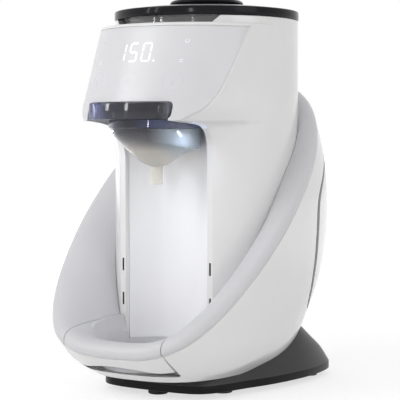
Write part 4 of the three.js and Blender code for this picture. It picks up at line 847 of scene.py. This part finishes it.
bend = [(head["edge"] * (1 - math.sin(a)), head["edge"] * (1 - math.cos(a)))
        for a in np.radians(head["edgeAngles"])]
mixingCap = loft("mixing_cap_shell", [
    capRing(head["wall"], head["low"]), *[capRing(inset, head["low"] + rise) for inset, rise in bend],
    *[capRing(inset, roofHigh - rise) for inset, rise in bend[::-1]],
    capRing(head["roofInset"], roofHigh), capRing(head["roofInset"], roofLow),
    capRing(head["wall"], roofLow)], closed=True)
roofEdge = head["roofInset"] - head["roofLap"]
join(mixingCap, loft("roof", [capRing(roofEdge, roofLow + gap), capRing(roofEdge, roofHigh - gap)]))
cut(mixingCap, *ports(2 * gap, head["low"] + 5, roofHigh + 3))

outer, inner = head["bandRadius"], head["bandRadius"] - head["bandWall"]
low, high, edge = head["bandLow"], head["bandHigh"], head["bandEdge"]
bandProfile = [(inner, low), (outer - edge, low), (outer, low + edge),
               (outer, high - edge), (outer - edge, high), (inner, high)]
mixingCollar = turned("mixing_collar_band", bandProfile, 0, head["centreY"], 144)


def funnelRings(inset):
    full = head["hangFull"]
    rings = [(head["spout"] - inset, head["spoutLow"] + up, 0) for up in (0, head["spoutStraight"])]
    for share, up in curveThrough(head["shares"], head["funnelSteps"]):
        low = head["hang"] * ((up / full) ** 2 if up < full else max(0, 1 - up) / (1 - full))
        z = head["spoutTop"] + (head["top"] - head["spoutTop"]) * up
        rings.append((max(head["funnel"] * share, head["spout"]) - inset, z, low))
    turn = np.linspace(0, 2 * math.pi, 120, endpoint=False)
    side = (1 + np.cos(turn - math.radians(head["hangTurn"]))) / 2
    return [ringAt(r, 0, head["centreY"], z - side * low, len(turn)) for r, z, low in rings]


mixingFunnel = loft("mixing_funnel_wall", funnelRings(0) + funnelRings(head["wall"])[::-1], closed=True)
print("mixing head made")

# Powder container, lid and knob
hopper = {
    "throat": 35, "throatY": -26, "low": 266, "shoulder": 294.5, "radius": 75, "wall": 2, "floor": 3,
    "flangeLow": 323.3, "flangeHigh": 325.5, "flange": 79.1, "coneFrom": 0.08, "coneSteps": 12, "sides": 144,
    "hub": 8, "way": 6.6, "ways": ((0, -4), (22, -26)), "boreTop": 7,
}


def hopperRings(inset, low, high):
    rows = [(low, hopper["throat"] - inset, hopper["throatY"])]
    for t in np.linspace(hopper["coneFrom"], 1, hopper["coneSteps"]):
        radius = hopper["throat"] + (hopper["radius"] - hopper["throat"]) * t
        rows.append((low + (hopper["shoulder"] - low) * t, radius - inset, hopper["throatY"] * (1 - t)))
    rows += [(hopper["shoulder"] + 2, hopper["radius"] - inset, 0), (high, hopper["radius"] - inset, 0)]
    return [ringAt(radius, 0, y, z, hopper["sides"]) for z, radius, y in rows]


bored = hopper["low"] - over, hopper["low"] + hopper["boreTop"]
container = cut(
    join(loft("powder_container_cup", hopperRings(0, hopper["low"], hopper["flangeHigh"])),
         column("flange", hopper["flange"], hopper["flangeLow"], hopper["flangeHigh"] - hair,
                0, 0, hopper["sides"])),
    loft("room", hopperRings(hopper["wall"], hopper["low"] + hopper["floor"], hopper["flangeHigh"] + 3)),
    column("hub", hopper["hub"], *bored, 0, hopper["throatY"], 64),
    *[column("way", hopper["way"], *bored, x, y, 48) for x, y in hopper["ways"]])

top = {
    "radius": 82.4, "low": 323.3, "edge": 330, "recess": 328.6, "recessRadius": 80, "crown": 336,
    "lowEdge": [(-0.5, 0), (-0.15, 0.2), (0, 0.6)],
    "highEdge": [(0, -0.2), (-0.2, 0.45), (-0.6, 0.85), (-1.1, 1.02)],
    "dome": [(76.6, 331.6), (57.7, 334.1), (36, 335.6), (33, 336)],
    "knob": [(31.2, 336.3), (32.2, 337), (33, 338.75), (32.4, 340.2), (31, 341.2), (29.6, 341.65),
             (28, 341.8)],
    "grip": 8, "hollow": 3, "scoop": 26, "scoopShift": 2,
}
lidRecess = [(0, top["recess"]), (top["recessRadius"], top["recess"]), (top["recessRadius"], top["low"])]
lidRim = [(top["radius"] + out, start + up)
          for start, way in ((top["low"], "lowEdge"), (top["edge"], "highEdge")) for out, up in top[way]]
lidDome = [*curveThrough(top["dome"], 14), (0, top["crown"])]
lidShell = turned("lid_shell", lidRecess + lidRim + lidDome, sides=192)
knobLow, knobTop = top["knob"][0][1], top["knob"][-1][1]
lidKnob = turned("lid_knob_disc", [(0, knobLow), *top["knob"], (0, knobTop)], sides=144)
for side in (-1, 1):                    # two finger hollows leave a grip between them
    scoop = column("scoop", top["scoop"], knobTop - top["hollow"], knobTop + 3,
                   0, side * top["scoopShift"], 96)
    bridge = column("bridge", top["scoop"], top["crown"], knobTop + 9, 0, -side * top["grip"], 96)
    cut(lidKnob, cut(scoop, bridge))

# Round mat in the basin
mat = {"radius": 27, "low": 38.3, "edge": [(27, 38.9), (26.4, 39.25), (25.6, 39.4), (0, 39.4)]}
matProfile = [(0, mat["low"]), (mat["radius"], mat["low"]), *mat["edge"]]
trayMat = turned("tray_mat_disc", matProfile, 0, tray["basinY"], 96)
print("container, lid and mat made")

# Finishes: moulded plastics have a faint mottle, a fine skin and slightly uneven gloss
finish = {
    "whiteGloss": {"color": (0.80, 0.79, 0.79), "rough": 0.2, "grain": 0.0016, "depth": 0.00001,
                   "coat": 0.35},
    "panelWhite": {"color": (0.71, 0.71, 0.73), "rough": 0.32, "grain": 0.0012, "depth": 0.000008},
    "satinGrey": {"color": (0.645, 0.642, 0.662), "rough": 0.44, "grain": 0.0008, "depth": 0.00002},
    # seamShadeGrey: near black, the painted shadow in the rim's seam
    "seamShadeGrey": {"color": (0.12, 0.12, 0.125), "rough": 0.6, "grain": 0.0008, "depth": 0.00002},
    "matGrey": {"color": (0.44, 0.44, 0.455), "rough": 0.7, "grain": 0.0006, "depth": 0.00004},
    # nicheLitWhite is painted lighter than the shell's white: painted light that makes up for the shade
    # inside the niche
    "nicheLitWhite": {"color": (0.95, 0.95, 0.965), "rough": 0.3, "grain": 0.0016, "depth": 0.00001},
    "blackGloss": {"color": (0.009, 0.009, 0.011), "rough": 0.13, "grain": 0.002, "depth": 0.00001,
                   "shine": 0.12},
    # skirtBlack: the band keeps the plastic's black, and the skirt's dark grey is a painted reflection on its
    # upper surface
    "skirtBlack": {"color": (0.052, 0.052, 0.053), "rough": 0.3, "grain": 0.001, "depth": 0.00001,
                   "shine": 0.16, "band": (0.004, 0.004, 0.005)},
    "footRubber": {"color": (0.02, 0.02, 0.021), "rough": 0.75, "grain": 0.0005, "depth": 0.00004},
    "innerWhite": {"color": (0.68, 0.68, 0.66), "rough": 0.45, "grain": 0.001, "depth": 0.00002},
    "silicone": {"color": (0.66, 0.68, 0.69), "rough": 0.5, "grain": 0.0009, "depth": 0.00002},
    "boardGreen": {"color": (0.04, 0.2, 0.09), "rough": 0.4, "grain": 0.0009, "depth": 0.00003, "coat": 0.3},
}
mottle = {"cloud": 0.045, "dark": 0.965, "pale": 1.03, "smooth": 0.85, "spread": 0.3, "relief": 0.35,
          "coatRough": 0.08}
haze = {"cloud": 0.03, "grain": 0.006, "dark": 0.94, "smooth": 0.7, "spread": 0.6, "bending": 1.46}
brushed = {"grain": 0.0012, "dark": 0.88, "smooth": 0.7, "spread": 0.6, "relief": 0.4, "depth": 0.00001}
shine = {"grain": 0.01, "dark": 0.93, "rough": 0.2, "spread": 0.1}


def toned(color, share):
    return tuple(min(1, c * share) for c in color)


def uneven(made, rough, look, pattern):  # gloss that a pattern varies
    feed(made, "Roughness", rough * look["smooth"] + pattern * (rough * look["spread"]))


def moulded(name):
    look = finish[name]
    made = material(name, look["color"], look["rough"], Coat_Weight=look.get("coat", 0.0),
                    Coat_Roughness=mottle["coatRough"], Specular_IOR_Level=look.get("shine", 0.5))
    tree = made.node_tree
    tones = toned(look["color"], mottle["dark"]), toned(look["color"], mottle["pale"])
    feed(made, "Base Color", tint(tree, noise(tree, mottle["cloud"], 2.0), *tones))
    skin = noise(tree, look["grain"], 3.0)
    uneven(made, look["rough"], mottle, skin)
    bump(made, skin, mottle["relief"], look["depth"])
    return made


def seeThrough(name, color, rough, clarity):
    made = material(name, color, rough, Transmission_Weight=clarity, IOR=haze["bending"])
    tree = made.node_tree
    uneven(made, rough, haze, noise(tree, haze["grain"], 2.0))
    feed(made, "Base Color", tint(tree, noise(tree, haze["cloud"], 2.0), toned(color, haze["dark"]), color))
    return made


def metal(name, color, rough, stretch):
    made = material(name, color, rough, Metallic=1.0)
    tree = made.node_tree
    lines = noise(tree, brushed["grain"], 4.0, stretch)
    uneven(made, rough, brushed, lines)
    feed(made, "Base Color", tint(tree, lines, toned(color, brushed["dark"]), color))
    bump(made, lines, brushed["relief"], brushed["depth"])
    return made


def glowing(name, color, strength, base):
    made = material(name, base, shine["rough"], Emission_Strength=strength)
    tree = made.node_tree
    cloud = noise(tree, shine["grain"], 1.0)
    feed(made, "Emission Color", tint(tree, cloud, toned(color, shine["dark"]), color))
    feed(made, "Roughness", shine["rough"] + cloud * shine["spread"])
    return made


def tintAlong(name, row, low, high, stops):  # colour that runs along X (0) or Z (2)
    tree = finishes[name].node_tree
    along = node(tree, "ShaderNodeSeparateXYZ", {}, [place(tree)], output=row)
    share = (along - low) * (1 / (high - low))
    return node(tree, "ShaderNodeValToRGB", {"stops": [(at, (*color, 1)) for at, color in stops]}, [share])


finishes = {name: moulded(name) for name in finish}
# Above the band the skirt is painted dark grey against the band's black: a painted reflection for the sheen
# on its upper surface.
skirtTree = finishes["skirtBlack"].node_tree
height = node(skirtTree, "ShaderNodeSeparateXYZ", {}, [place(skirtTree)], output=2)
bandAndSkirtSheen = finish["skirtBlack"]["band"], finish["skirtBlack"]["color"]
feed(finishes["skirtBlack"], "Base Color", tint(skirtTree, height > base["skirtSheenFrom"] * mm, *bandAndSkirtSheen))

clearFinish = {
    "smoked": ((0.1, 0.1, 0.13), 0.05, 0.86), "smokedBand": ((0.2, 0.21, 0.26), 0.05, 0.86),
    "funnelClear": ((0.9, 0.88, 0.84), 0.06, 0.62), "clear": ((0.92, 0.92, 0.94), 0.05, 0.92),
    "tankSmoke": ((0.04, 0.04, 0.045), 0.12, 0.35),
}
metalFinish = {
    "steel": ((0.6, 0.6, 0.61), 0.28, (1, 1, 12)), "castAlloy": ((0.62, 0.62, 0.63), 0.5, (1, 1, 1)),
    "brass": ((0.7, 0.55, 0.25), 0.3, (1, 1, 6)),
}
glowFinish = {
    "lampLens": ((0.80, 0.86, 1.0), 0.22, (0.62, 0.66, 0.76)),
    "digitGlow": ((0.93, 0.92, 1.0), 0.4, (0.82, 0.82, 0.9)),
    "signGlow": ((0.93, 0.93, 1.0), 0.28, (0.8, 0.8, 0.86)),
    # faintPrint: the printed rings at the touch keys, given a faint painted glow though no lamp lights them
    "faintPrint": ((0.9, 0.9, 0.96), 0.12, (0.6, 0.6, 0.65)),
}
for make, looks in ((seeThrough, clearFinish), (metal, metalFinish), (glowing, glowFinish)):
    finishes.update({name: make(name, *look) for name, look in looks.items()})

capSide, funnelSide = head["capWidth"] / 2 * mm, head["funnel"] * mm
# The smoked cap's colour runs across it: the pale lavender at its left end and the lighter slate at its right
# end are painted highlights, and the dark middle is the smoked plastic.
feed(finishes["smoked"], "Base Color", tintAlong("smoked", 0, -capSide, capSide, [
    (0, (0.72, 0.76, 1.0)), (0.13, (0.6, 0.64, 0.95)), (0.32, (0.15, 0.15, 0.2)), (0.9, (0.09, 0.09, 0.11)),
    (1, (0.4, 0.42, 0.5))]))
# The smoked band is dark in the middle; its lighter left end and the pale blue towards its right end are
# painted reflections.
feed(finishes["smokedBand"], "Base Color", tintAlong("smokedBand", 0, -capSide, capSide, [
    (0, (0.3, 0.31, 0.38)), (0.5, (0.15, 0.15, 0.19)), (0.74, (0.28, 0.31, 0.6)), (1, (0.7, 0.78, 1.0))]))
# The funnel runs from the powder's cream at its foot to near black at its top, a painted shade under the band
# and cap; its right lobe takes a painted blue-grey reflection.
creamAndTopShade = tintAlong("funnelClear", 2, head["tintLow"] * mm, head["tintHigh"] * mm, [
    (0, (0.97, 0.95, 0.9)), (0.4, (0.93, 0.9, 0.84)), (0.72, (0.24, 0.24, 0.26)), (1, (0.06, 0.06, 0.08))])
lobeReflectionShare = tintAlong("funnelClear", 0, -funnelSide, funnelSide, [
    (0, (0, 0, 0)), (0.7, (0, 0, 0)), (0.88, (1, 1, 1)), (1, (1, 1, 1))])
lobeReflectionMix = {"Factor": lobeReflectionShare, 6: creamAndTopShade, 7: (0.6, 0.68, 0.76, 1)}
feed(finishes["funnelClear"], "Base Color",
     node(finishes["funnelClear"].node_tree, "ShaderNodeMix", {"data_type": "RGBA"}, lobeReflectionMix, output=2))
print("finishes made")


# Repeated pieces: one shape set on points, each with its own turn
def onPoints(name, shape, points, finishName, spread=0.0, seed=1):
    tree = bpy.data.node_groups.new(name + "_tree", "GeometryNodeTree")
    face = tree.interface
    kinds = {"Points": "Geometry", "Shape": "Object", "Turn Spread": "Float", "Seed": "Int",
             "Finish": "Material"}
    sockets = {label: face.new_socket(label, in_out="INPUT", socket_type="NodeSocket" + kind)
               for label, kind in kinds.items()}
    face.new_socket("Geometry", in_out="OUTPUT", socket_type="NodeSocketGeometry")
    given = tree.nodes.new("NodeGroupInput")
    inputOf = {label: Wire(tree, socket) for label, socket in zip(kinds, given.outputs)}
    each = node(tree, "GeometryNodeObjectInfo", {}, {"Object": inputOf["Shape"]}, output="Geometry")
    turn = node(tree, "FunctionNodeRandomValue", {"data_type": "FLOAT"},
                {2: 0.0, 3: inputOf["Turn Spread"], 8: inputOf["Seed"]}, output=1)
    turnZ = node(tree, "ShaderNodeCombineXYZ", {}, {"Z": turn})
    placed = node(tree, "GeometryNodeInstanceOnPoints", {},
                  {"Points": inputOf["Points"], "Instance": each, "Rotation": turnZ})
    real = node(tree, "GeometryNodeRealizeInstances", {}, [placed])
    done = node(tree, "GeometryNodeSetMaterial", {}, {"Geometry": real, "Material": inputOf["Finish"]})
    leave = tree.nodes.new("NodeGroupOutput")
    tree.links.new(done.socket, leave.inputs[0])
    piece = solid(name, points, [])
    step = piece.modifiers.new("repeat", "NODES")
    step.node_group = tree
    values = {"Shape": shape, "Turn Spread": spread, "Seed": seed, "Finish": finishes[finishName]}
    for label, value in values.items():
        step[sockets[label].identifier] = value
    settle(piece)
    bpy.data.objects.remove(shape)
    return piece


def middle(name):                       # a node's centre in plan, and its lowest point
    low, high = boxOf(name)
    return ((low.x + high.x) / 2, (low.y + high.y) / 2, low.z)


atOrigin = -axisY / mm                  # shapes that are set on points are made round the frame's origin
foot = {"height": 4.7, "peg": 3, "pegTop": 9.7,
        "side": [(7.9, 0), (8.4, 0.3), (8.75, 1.6), (8.5, 2.1), (8.5, 2.7), (9, 3.1), (9, 4.7)]}
footNames = ["foot_front", "foot_left", "foot_right", "foot_rear_left", "foot_rear_right"]
footPeg = [(foot["peg"], foot["height"]), (foot["peg"], foot["pegTop"]), (0, foot["pegTop"])]
footShape = turned("footShape", [(0, 0), *foot["side"], *footPeg], 0, atOrigin, 48)
feet = onPoints("feet_set", footShape, [middle(name) for name in footNames], "footRubber", 0.4, 3)

screw = {"head": 3.8, "headHigh": 2.7, "edge": 0.5, "shank": 2, "top": 19.7, "slotReach": 5, "slot": 0.6,
         "slotDeep": 0.9}
screwNames = [f"base_screw_{i}" for i in (1, 2, 3, 4)]
screwHead = [(0, 0), (screw["head"] - screw["edge"], 0), (screw["head"], screw["edge"]),
             (screw["head"], screw["headHigh"])]
screwShank = [(screw["shank"], screw["headHigh"]), (screw["shank"], screw["top"]), (0, screw["top"])]
screwShape = turned("screwShape", screwHead + screwShank, 0, atOrigin, 32)
cut(screwShape, block("slot", (-screw["slotReach"], atOrigin - screw["slot"], -1),
                      (screw["slotReach"], atOrigin + screw["slot"], screw["slotDeep"])))
screws = onPoints("base_screw_set", screwShape, [middle(name) for name in screwNames], "steel", 3.0, 7)
print("feet and screws made")

# Display: lit digits, four small signs and faint rings at the touch keys, all on the panel's bend
display = {
    "digitLow": 282.5, "digitHigh": 299, "digitWidth": 8.8, "bar": 1.5, "gapBar": 0.35,
    "lift": 0.06, "thick": 0.25,
    "digits": [("1", -18.0), ("5", -5.5), ("0", 7.2)], "point": (19.6, 283.4, 0.9),
    "keys": [(-39.7, 266), (0, 266), (39.8, 266)], "keyRing": (8.5, 0.16), "middleRing": (1.7, 0.3),
    "cup": {"half": 1.5, "drop": 3, "neck": 0.7, "neckLow": 2.6, "neckTall": 1.6, "left": 3.6, "right": 2.6},
    "drop": (-45, 299, 1.1), "dial": (-43, 283.2, 1.4, 0.25), "hook": (44.6, 299.8, 1.5, 0.25, 120, 420),
    "dashes": [(43, 282.2, 1.5, 0.5), (43, 284, 1.5, 0.5)],
}
segmentsLit = {"1": "bc", "5": "afgcd", "0": "abcdef"}


def onPanel(points, lift):
    points = np.asarray(points, float)
    angle = points[:, 0] / towerRadius
    x = (towerRadius + lift) * np.sin(angle)
    y = panelFront(points[:, 1]) + towerRadius - (towerRadius + lift) * np.cos(angle)
    return np.stack([x, y, points[:, 1]], -1)


def plates(name, outlines):
    points, faces = [], []
    for outline in outlines:
        start, count = len(points), len(outline)
        points += [*onPanel(outline, display["lift"]), *onPanel(outline, display["lift"] - display["thick"])]
        faces.append(tuple(range(start, start + count)))
        faces.append(tuple(range(start + 2 * count - 1, start + count - 1, -1)))
        for i in range(count):
            j = (i + 1) % count
            faces.append((start + i, start + j, start + count + j, start + count + i))
    return solid(name, points, faces)


def barShape(x0, z0, x1, z1):           # a bar with pointed ends
    w = display["bar"] / 2
    g = display["gapBar"]
    if z0 == z1:
        return [(x0 + g, z0), (x0 + g + w, z0 - w), (x1 - g - w, z0 - w), (x1 - g, z0), (x1 - g - w, z0 + w),
                (x0 + g + w, z0 + w)]
    return [(x0, z0 + g), (x0 + w, z0 + g + w), (x0 + w, z1 - g - w), (x0, z1 - g), (x0 - w, z1 - g - w),
            (x0 - w, z0 + g + w)]


def arcBand(u, z, radius, line, start, stop, count=24):
    turn = np.radians(np.linspace(start, stop, count))
    way = np.stack([np.cos(turn), np.sin(turn)], -1)
    return np.vstack([(u, z) + way * (radius + line), ((u, z) + way * (radius - line))[::-1]])


def ringBand(u, z, radius, line, count=24):  # a ring of two half arcs
    return [arcBand(u, z, radius, line, start, start + 180, count) for start in (0, 180)]


def oblong(u, z, half, tall):
    return [(u - half, z), (u + half, z), (u + half, z + tall), (u - half, z + tall)]


def dropShape(u, z, size):
    turn = np.radians(np.linspace(215, -35, 18))
    belly = [(u + size * math.cos(a), z - size * 0.3 + size * math.sin(a)) for a in turn]
    return belly + [(u, z + size * 1.7)]


bars = []
w = display["bar"] / 2
low, high = display["digitLow"] + w, display["digitHigh"] - w
centre = (low + high) / 2
for digit, u in display["digits"]:
    left, right = u + w, u + display["digitWidth"] - w
    lines = {"a": (left, high, right, high), "g": (left, centre, right, centre), "d": (left, low, right, low),
             "b": (right, centre, right, high), "c": (right, low, right, centre),
             "e": (left, low, left, centre), "f": (left, centre, left, high)}
    bars += [barShape(*lines[part]) for part in segmentsLit[digit]]
bars.append(circle(*display["point"]))
digits = plates("display_digits", bars)

# Rings and cups at the touch keys are print, and their finish gives them a faint painted glow.
keyLines = [half for key in display["keys"] for half in ringBand(*key, *display["keyRing"], 33)]
keyLines += ringBand(*display["keys"][1], *display["middleRing"], 17)
cup = display["cup"]
for (u, z), tall in ((display["keys"][0], cup["left"]), (display["keys"][2], cup["right"])):
    keyLines += [oblong(u, z - cup["drop"], cup["half"], tall),
                 oblong(u, z - cup["neckLow"] + tall, cup["neck"], cup["neckTall"])]
keyRings = plates("touch_key_rings", keyLines)
dashes = [oblong(*dash) for dash in display["dashes"]]
signs = [dropShape(*display["drop"]), *ringBand(*display["dial"]), arcBand(*display["hook"]), *dashes]
panelSigns = plates("panel_signs", signs)
print("display made")


def dress(piece, body, finishName, slot, *nodes):
    smooth(piece)
    piece.data.materials.clear()
    piece.data.materials.append(finishes[finishName])
    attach(piece, body)
    if nodes:
        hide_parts(*nodes)


def together(piece, *others):           # several meshes as one piece
    work = bmesh.new()
    for part in (piece, *others):
        work.from_mesh(part.data)
    work.to_mesh(piece.data)
    work.free()
    for part in others:
        bpy.data.objects.remove(part)
    return piece


dress(outerShell, "housing", "whiteGloss", "white_gloss", "outer_shell")
dress(together(towerBody, collar), "housing", "whiteGloss", "white_gloss", "tower_housing")
dress(bayLiner, "housing", "nicheLitWhite", "white_gloss", "bay_liner")
dress(soften(frontPanel, 0.35, 2, 45), "housing", "panelWhite", "white_gloss", "front_panel")
dress(baseBody, "housing", "skirtBlack", "black_gloss", "base_plate")
dress(rimBand, "housing", "satinGrey", "satin_grey", "rim_band")
dress(seamShadeBead, "housing", "seamShadeGrey", "satin_grey")
dress(trayShadeBead, "drip_tray", "seamShadeGrey", "satin_grey")
dress(feet, "housing", "footRubber", "foot_rubber", *footNames)
dress(screws, "housing", "steel", "steel", *screwNames)
dress(lamps[0], "housing", "lampLens", "lamp_lens", "night_light_left")
dress(lamps[1], "housing", "lampLens", "lamp_lens", "night_light_right")
dress(together(*[slit(*at, hair) for at in slits]), "housing", "blackGloss", "black_gloss")
dress(digits, "housing", "digitGlow", "lamp_lens")
dress(panelSigns, "housing", "signGlow", "lamp_lens")
dress(keyRings, "housing", "faintPrint", "satin_grey")
dress(dripTray, "drip_tray", "satinGrey", "satin_grey", "drip_tray")
dress(trayMat, "drip_tray", "matGrey", "mat_grey", "tray_mat")
dress(trayLip, "drip_tray", "whiteGloss", "white_gloss", "tray_lip")
dress(mixingCap, "mixing_head", "smoked", "smoked_plastic", "mixing_cap")
dress(mixingCollar, "mixing_head", "smokedBand", "smoked_plastic", "mixing_collar")
dress(mixingFunnel, "mixing_head", "funnelClear", "clear_plastic", "mixing_funnel")
dress(container, "container", "clear", "clear_plastic", "powder_container")
dress(lidShell, "lid", "blackGloss", "black_gloss", "lid")
dress(lidKnob, "lid", "blackGloss", "black_gloss", "lid_knob")
dress(waterTank, "tank", "tankSmoke", "tank_plastic", "water_tank")
dress(tankCover, "tank", "whiteGloss", "white_gloss", "tank_cover")

# Pieces kept from the frame take the finish of their slot
carried = {
    "inner_white": "innerWhite", "silicone": "silicone", "board_green": "boardGreen", "steel": "steel",
    "brass": "brass", "cast_alloy": "castAlloy", "tank_plastic": "tankSmoke",
    "black_gloss": "blackGloss", "white_gloss": "whiteGloss", "clear_plastic": "clear",
    "smoked_plastic": "smoked", "satin_grey": "satinGrey", "mat_grey": "matGrey",
    "foot_rubber": "footRubber", "lamp_lens": "lampLens",
}
for part in frame["record"]["subparts"]:
    kept = frame["nodes"][part["node"]]
    kept.data.materials.clear()
    kept.data.materials.append(finishes[carried[part["material_slot"]]])
print("finishes set")

# Plain studio: pale floor, soft lights, white behind; places in metres
studio = {
    "floor": 0.9, "floorHalf": 9000, "floorDeep": 30, "world": 0.53,
    "seen": 0.5, "floorGlow": 1.33, "fade": (0.3, 1.1),     # how the floor turns white with distance
    "lens": 124.2, "sensor": 36, "eye": (0.6647, -1.0350, 0.2275), "pitch": -2.962, "leftOfAxis": 0.274,
    "lights": {                         # power, size, place and aim
        "keyLight": (8.5, (1.2, 0.9), (-0.9, -1.5, 1.5), (0, 0, 0.18)),
        "fillLight": (6.5, (1.0, 1.4), (1.9, -0.3, 0.9), (0, 0, 0.16)),
        "rearLight": (1.2, (1.2, 0.6), (0.3, 1.6, 1.2), (0, 0, 0.2)),
        "leftStrip": (2, (0.045, 1.0), (-1.02, -1.1, 0.75), (0, 0, 0.3)),
        "nextStrip": (2, (0.045, 1.0), (-0.78, -1.3, 0.75), (0, 0, 0.3)),
        "frontStrip": (2, (0.05, 0.5), (0.36, -1.45, 0.42), (0, 0, 0.32)),
    },
    "glow": {"power": 0.008, "size": (0.004, 0.014), "place": (0.049, -0.096, 0.222),
             "toward": (0.01, -0.004, -0.03), "color": (0.8, 0.87, 1.0)},
}
wide = studio["floorHalf"]
floorPiece = block("floor", (-wide, -wide, -studio["floorDeep"]), (wide, wide, 0))


def throughLens(tree):                  # 1 for rays that show the background
    rays = tree.nodes.new("ShaderNodeLightPath")
    camera, glossy, through = (Wire(tree, rays.outputs[f"Is {name} Ray"]) for name in
                               ("Camera", "Glossy", "Transmission"))
    return camera + glossy + through > 0.5


floorPaint = material("floorPaint", (studio["floor"],) * 3, 0.85)
tree = floorPaint.node_tree
paint = Wire(tree, tree.nodes["Principled BSDF"].outputs[0])
white = node(tree, "ShaderNodeEmission", {}, {"Color": (1, 1, 1, 1), "Strength": studio["floorGlow"]})
away = node(tree, "ShaderNodeVectorMath", {"operation": "LENGTH"}, [place(tree)], output="Value")
far = node(tree, "ShaderNodeMapRange", {"interpolation_type": "SMOOTHSTEP"},
           [away, *studio["fade"], studio["seen"], 1.0])
mixed = node(tree, "ShaderNodeMixShader", {}, [throughLens(tree) * far, paint, white])
tree.links.new(mixed.socket, tree.nodes["Material Output"].inputs["Surface"])
floorPiece.data.materials.append(floorPaint)

world = bpy.context.scene.world or bpy.data.worlds.new("studioWorld")
bpy.context.scene.world = world
world.use_nodes = True
tree = world.node_tree
strength = studio["world"] + throughLens(tree) * (1 - studio["world"])
sky = node(tree, "ShaderNodeBackground", {}, {"Color": (1, 1, 1, 1), "Strength": strength})
tree.links.new(sky.socket, tree.nodes["World Output"].inputs["Surface"])


def softBox(name, power, size, at, aim, color=(1, 1, 1)):
    data = bpy.data.lights.new(name, "AREA")
    data.color = color
    data.energy = power
    data.shape = "RECTANGLE"
    data.size, data.size_y = size
    lamp = bpy.data.objects.new(name, data)
    bpy.context.scene.collection.objects.link(lamp)
    lamp.location = at
    lamp.rotation_euler = (Vector(aim) - Vector(at)).to_track_quat("-Z", "Y").to_euler()


for name, light in studio["lights"].items():
    softBox(name, *light)
glow = studio["glow"]
for side, name in ((-1, "leftGlow"), (1, "rightGlow")):     # the night lights' own glow, under their lenses
    x, y, z = glow["place"]
    inwards, ahead, down = glow["toward"]
    at = Vector((side * x, axisY + y, z))
    softBox(name, glow["power"], glow["size"], at, at + Vector((-side * inwards, ahead, down)), glow["color"])

photoLens = bpy.data.cameras.new("photoLens")
photoLens.lens = studio["lens"]
photoLens.sensor_width = studio["sensor"]
camera = bpy.data.objects.new("photoCamera", photoLens)
bpy.context.scene.collection.objects.link(camera)
camera.location = studio["eye"]
toAxis = Vector((0, axisY, 0)) - camera.location
yaw = math.atan2(-toAxis.x, toAxis.y) + math.radians(studio["leftOfAxis"])
camera.rotation_euler = (math.radians(90 + studio["pitch"]), 0, yaw)
bpy.context.scene.camera = camera
bpy.context.scene.view_settings.view_transform = "Standard"
print("studio set")
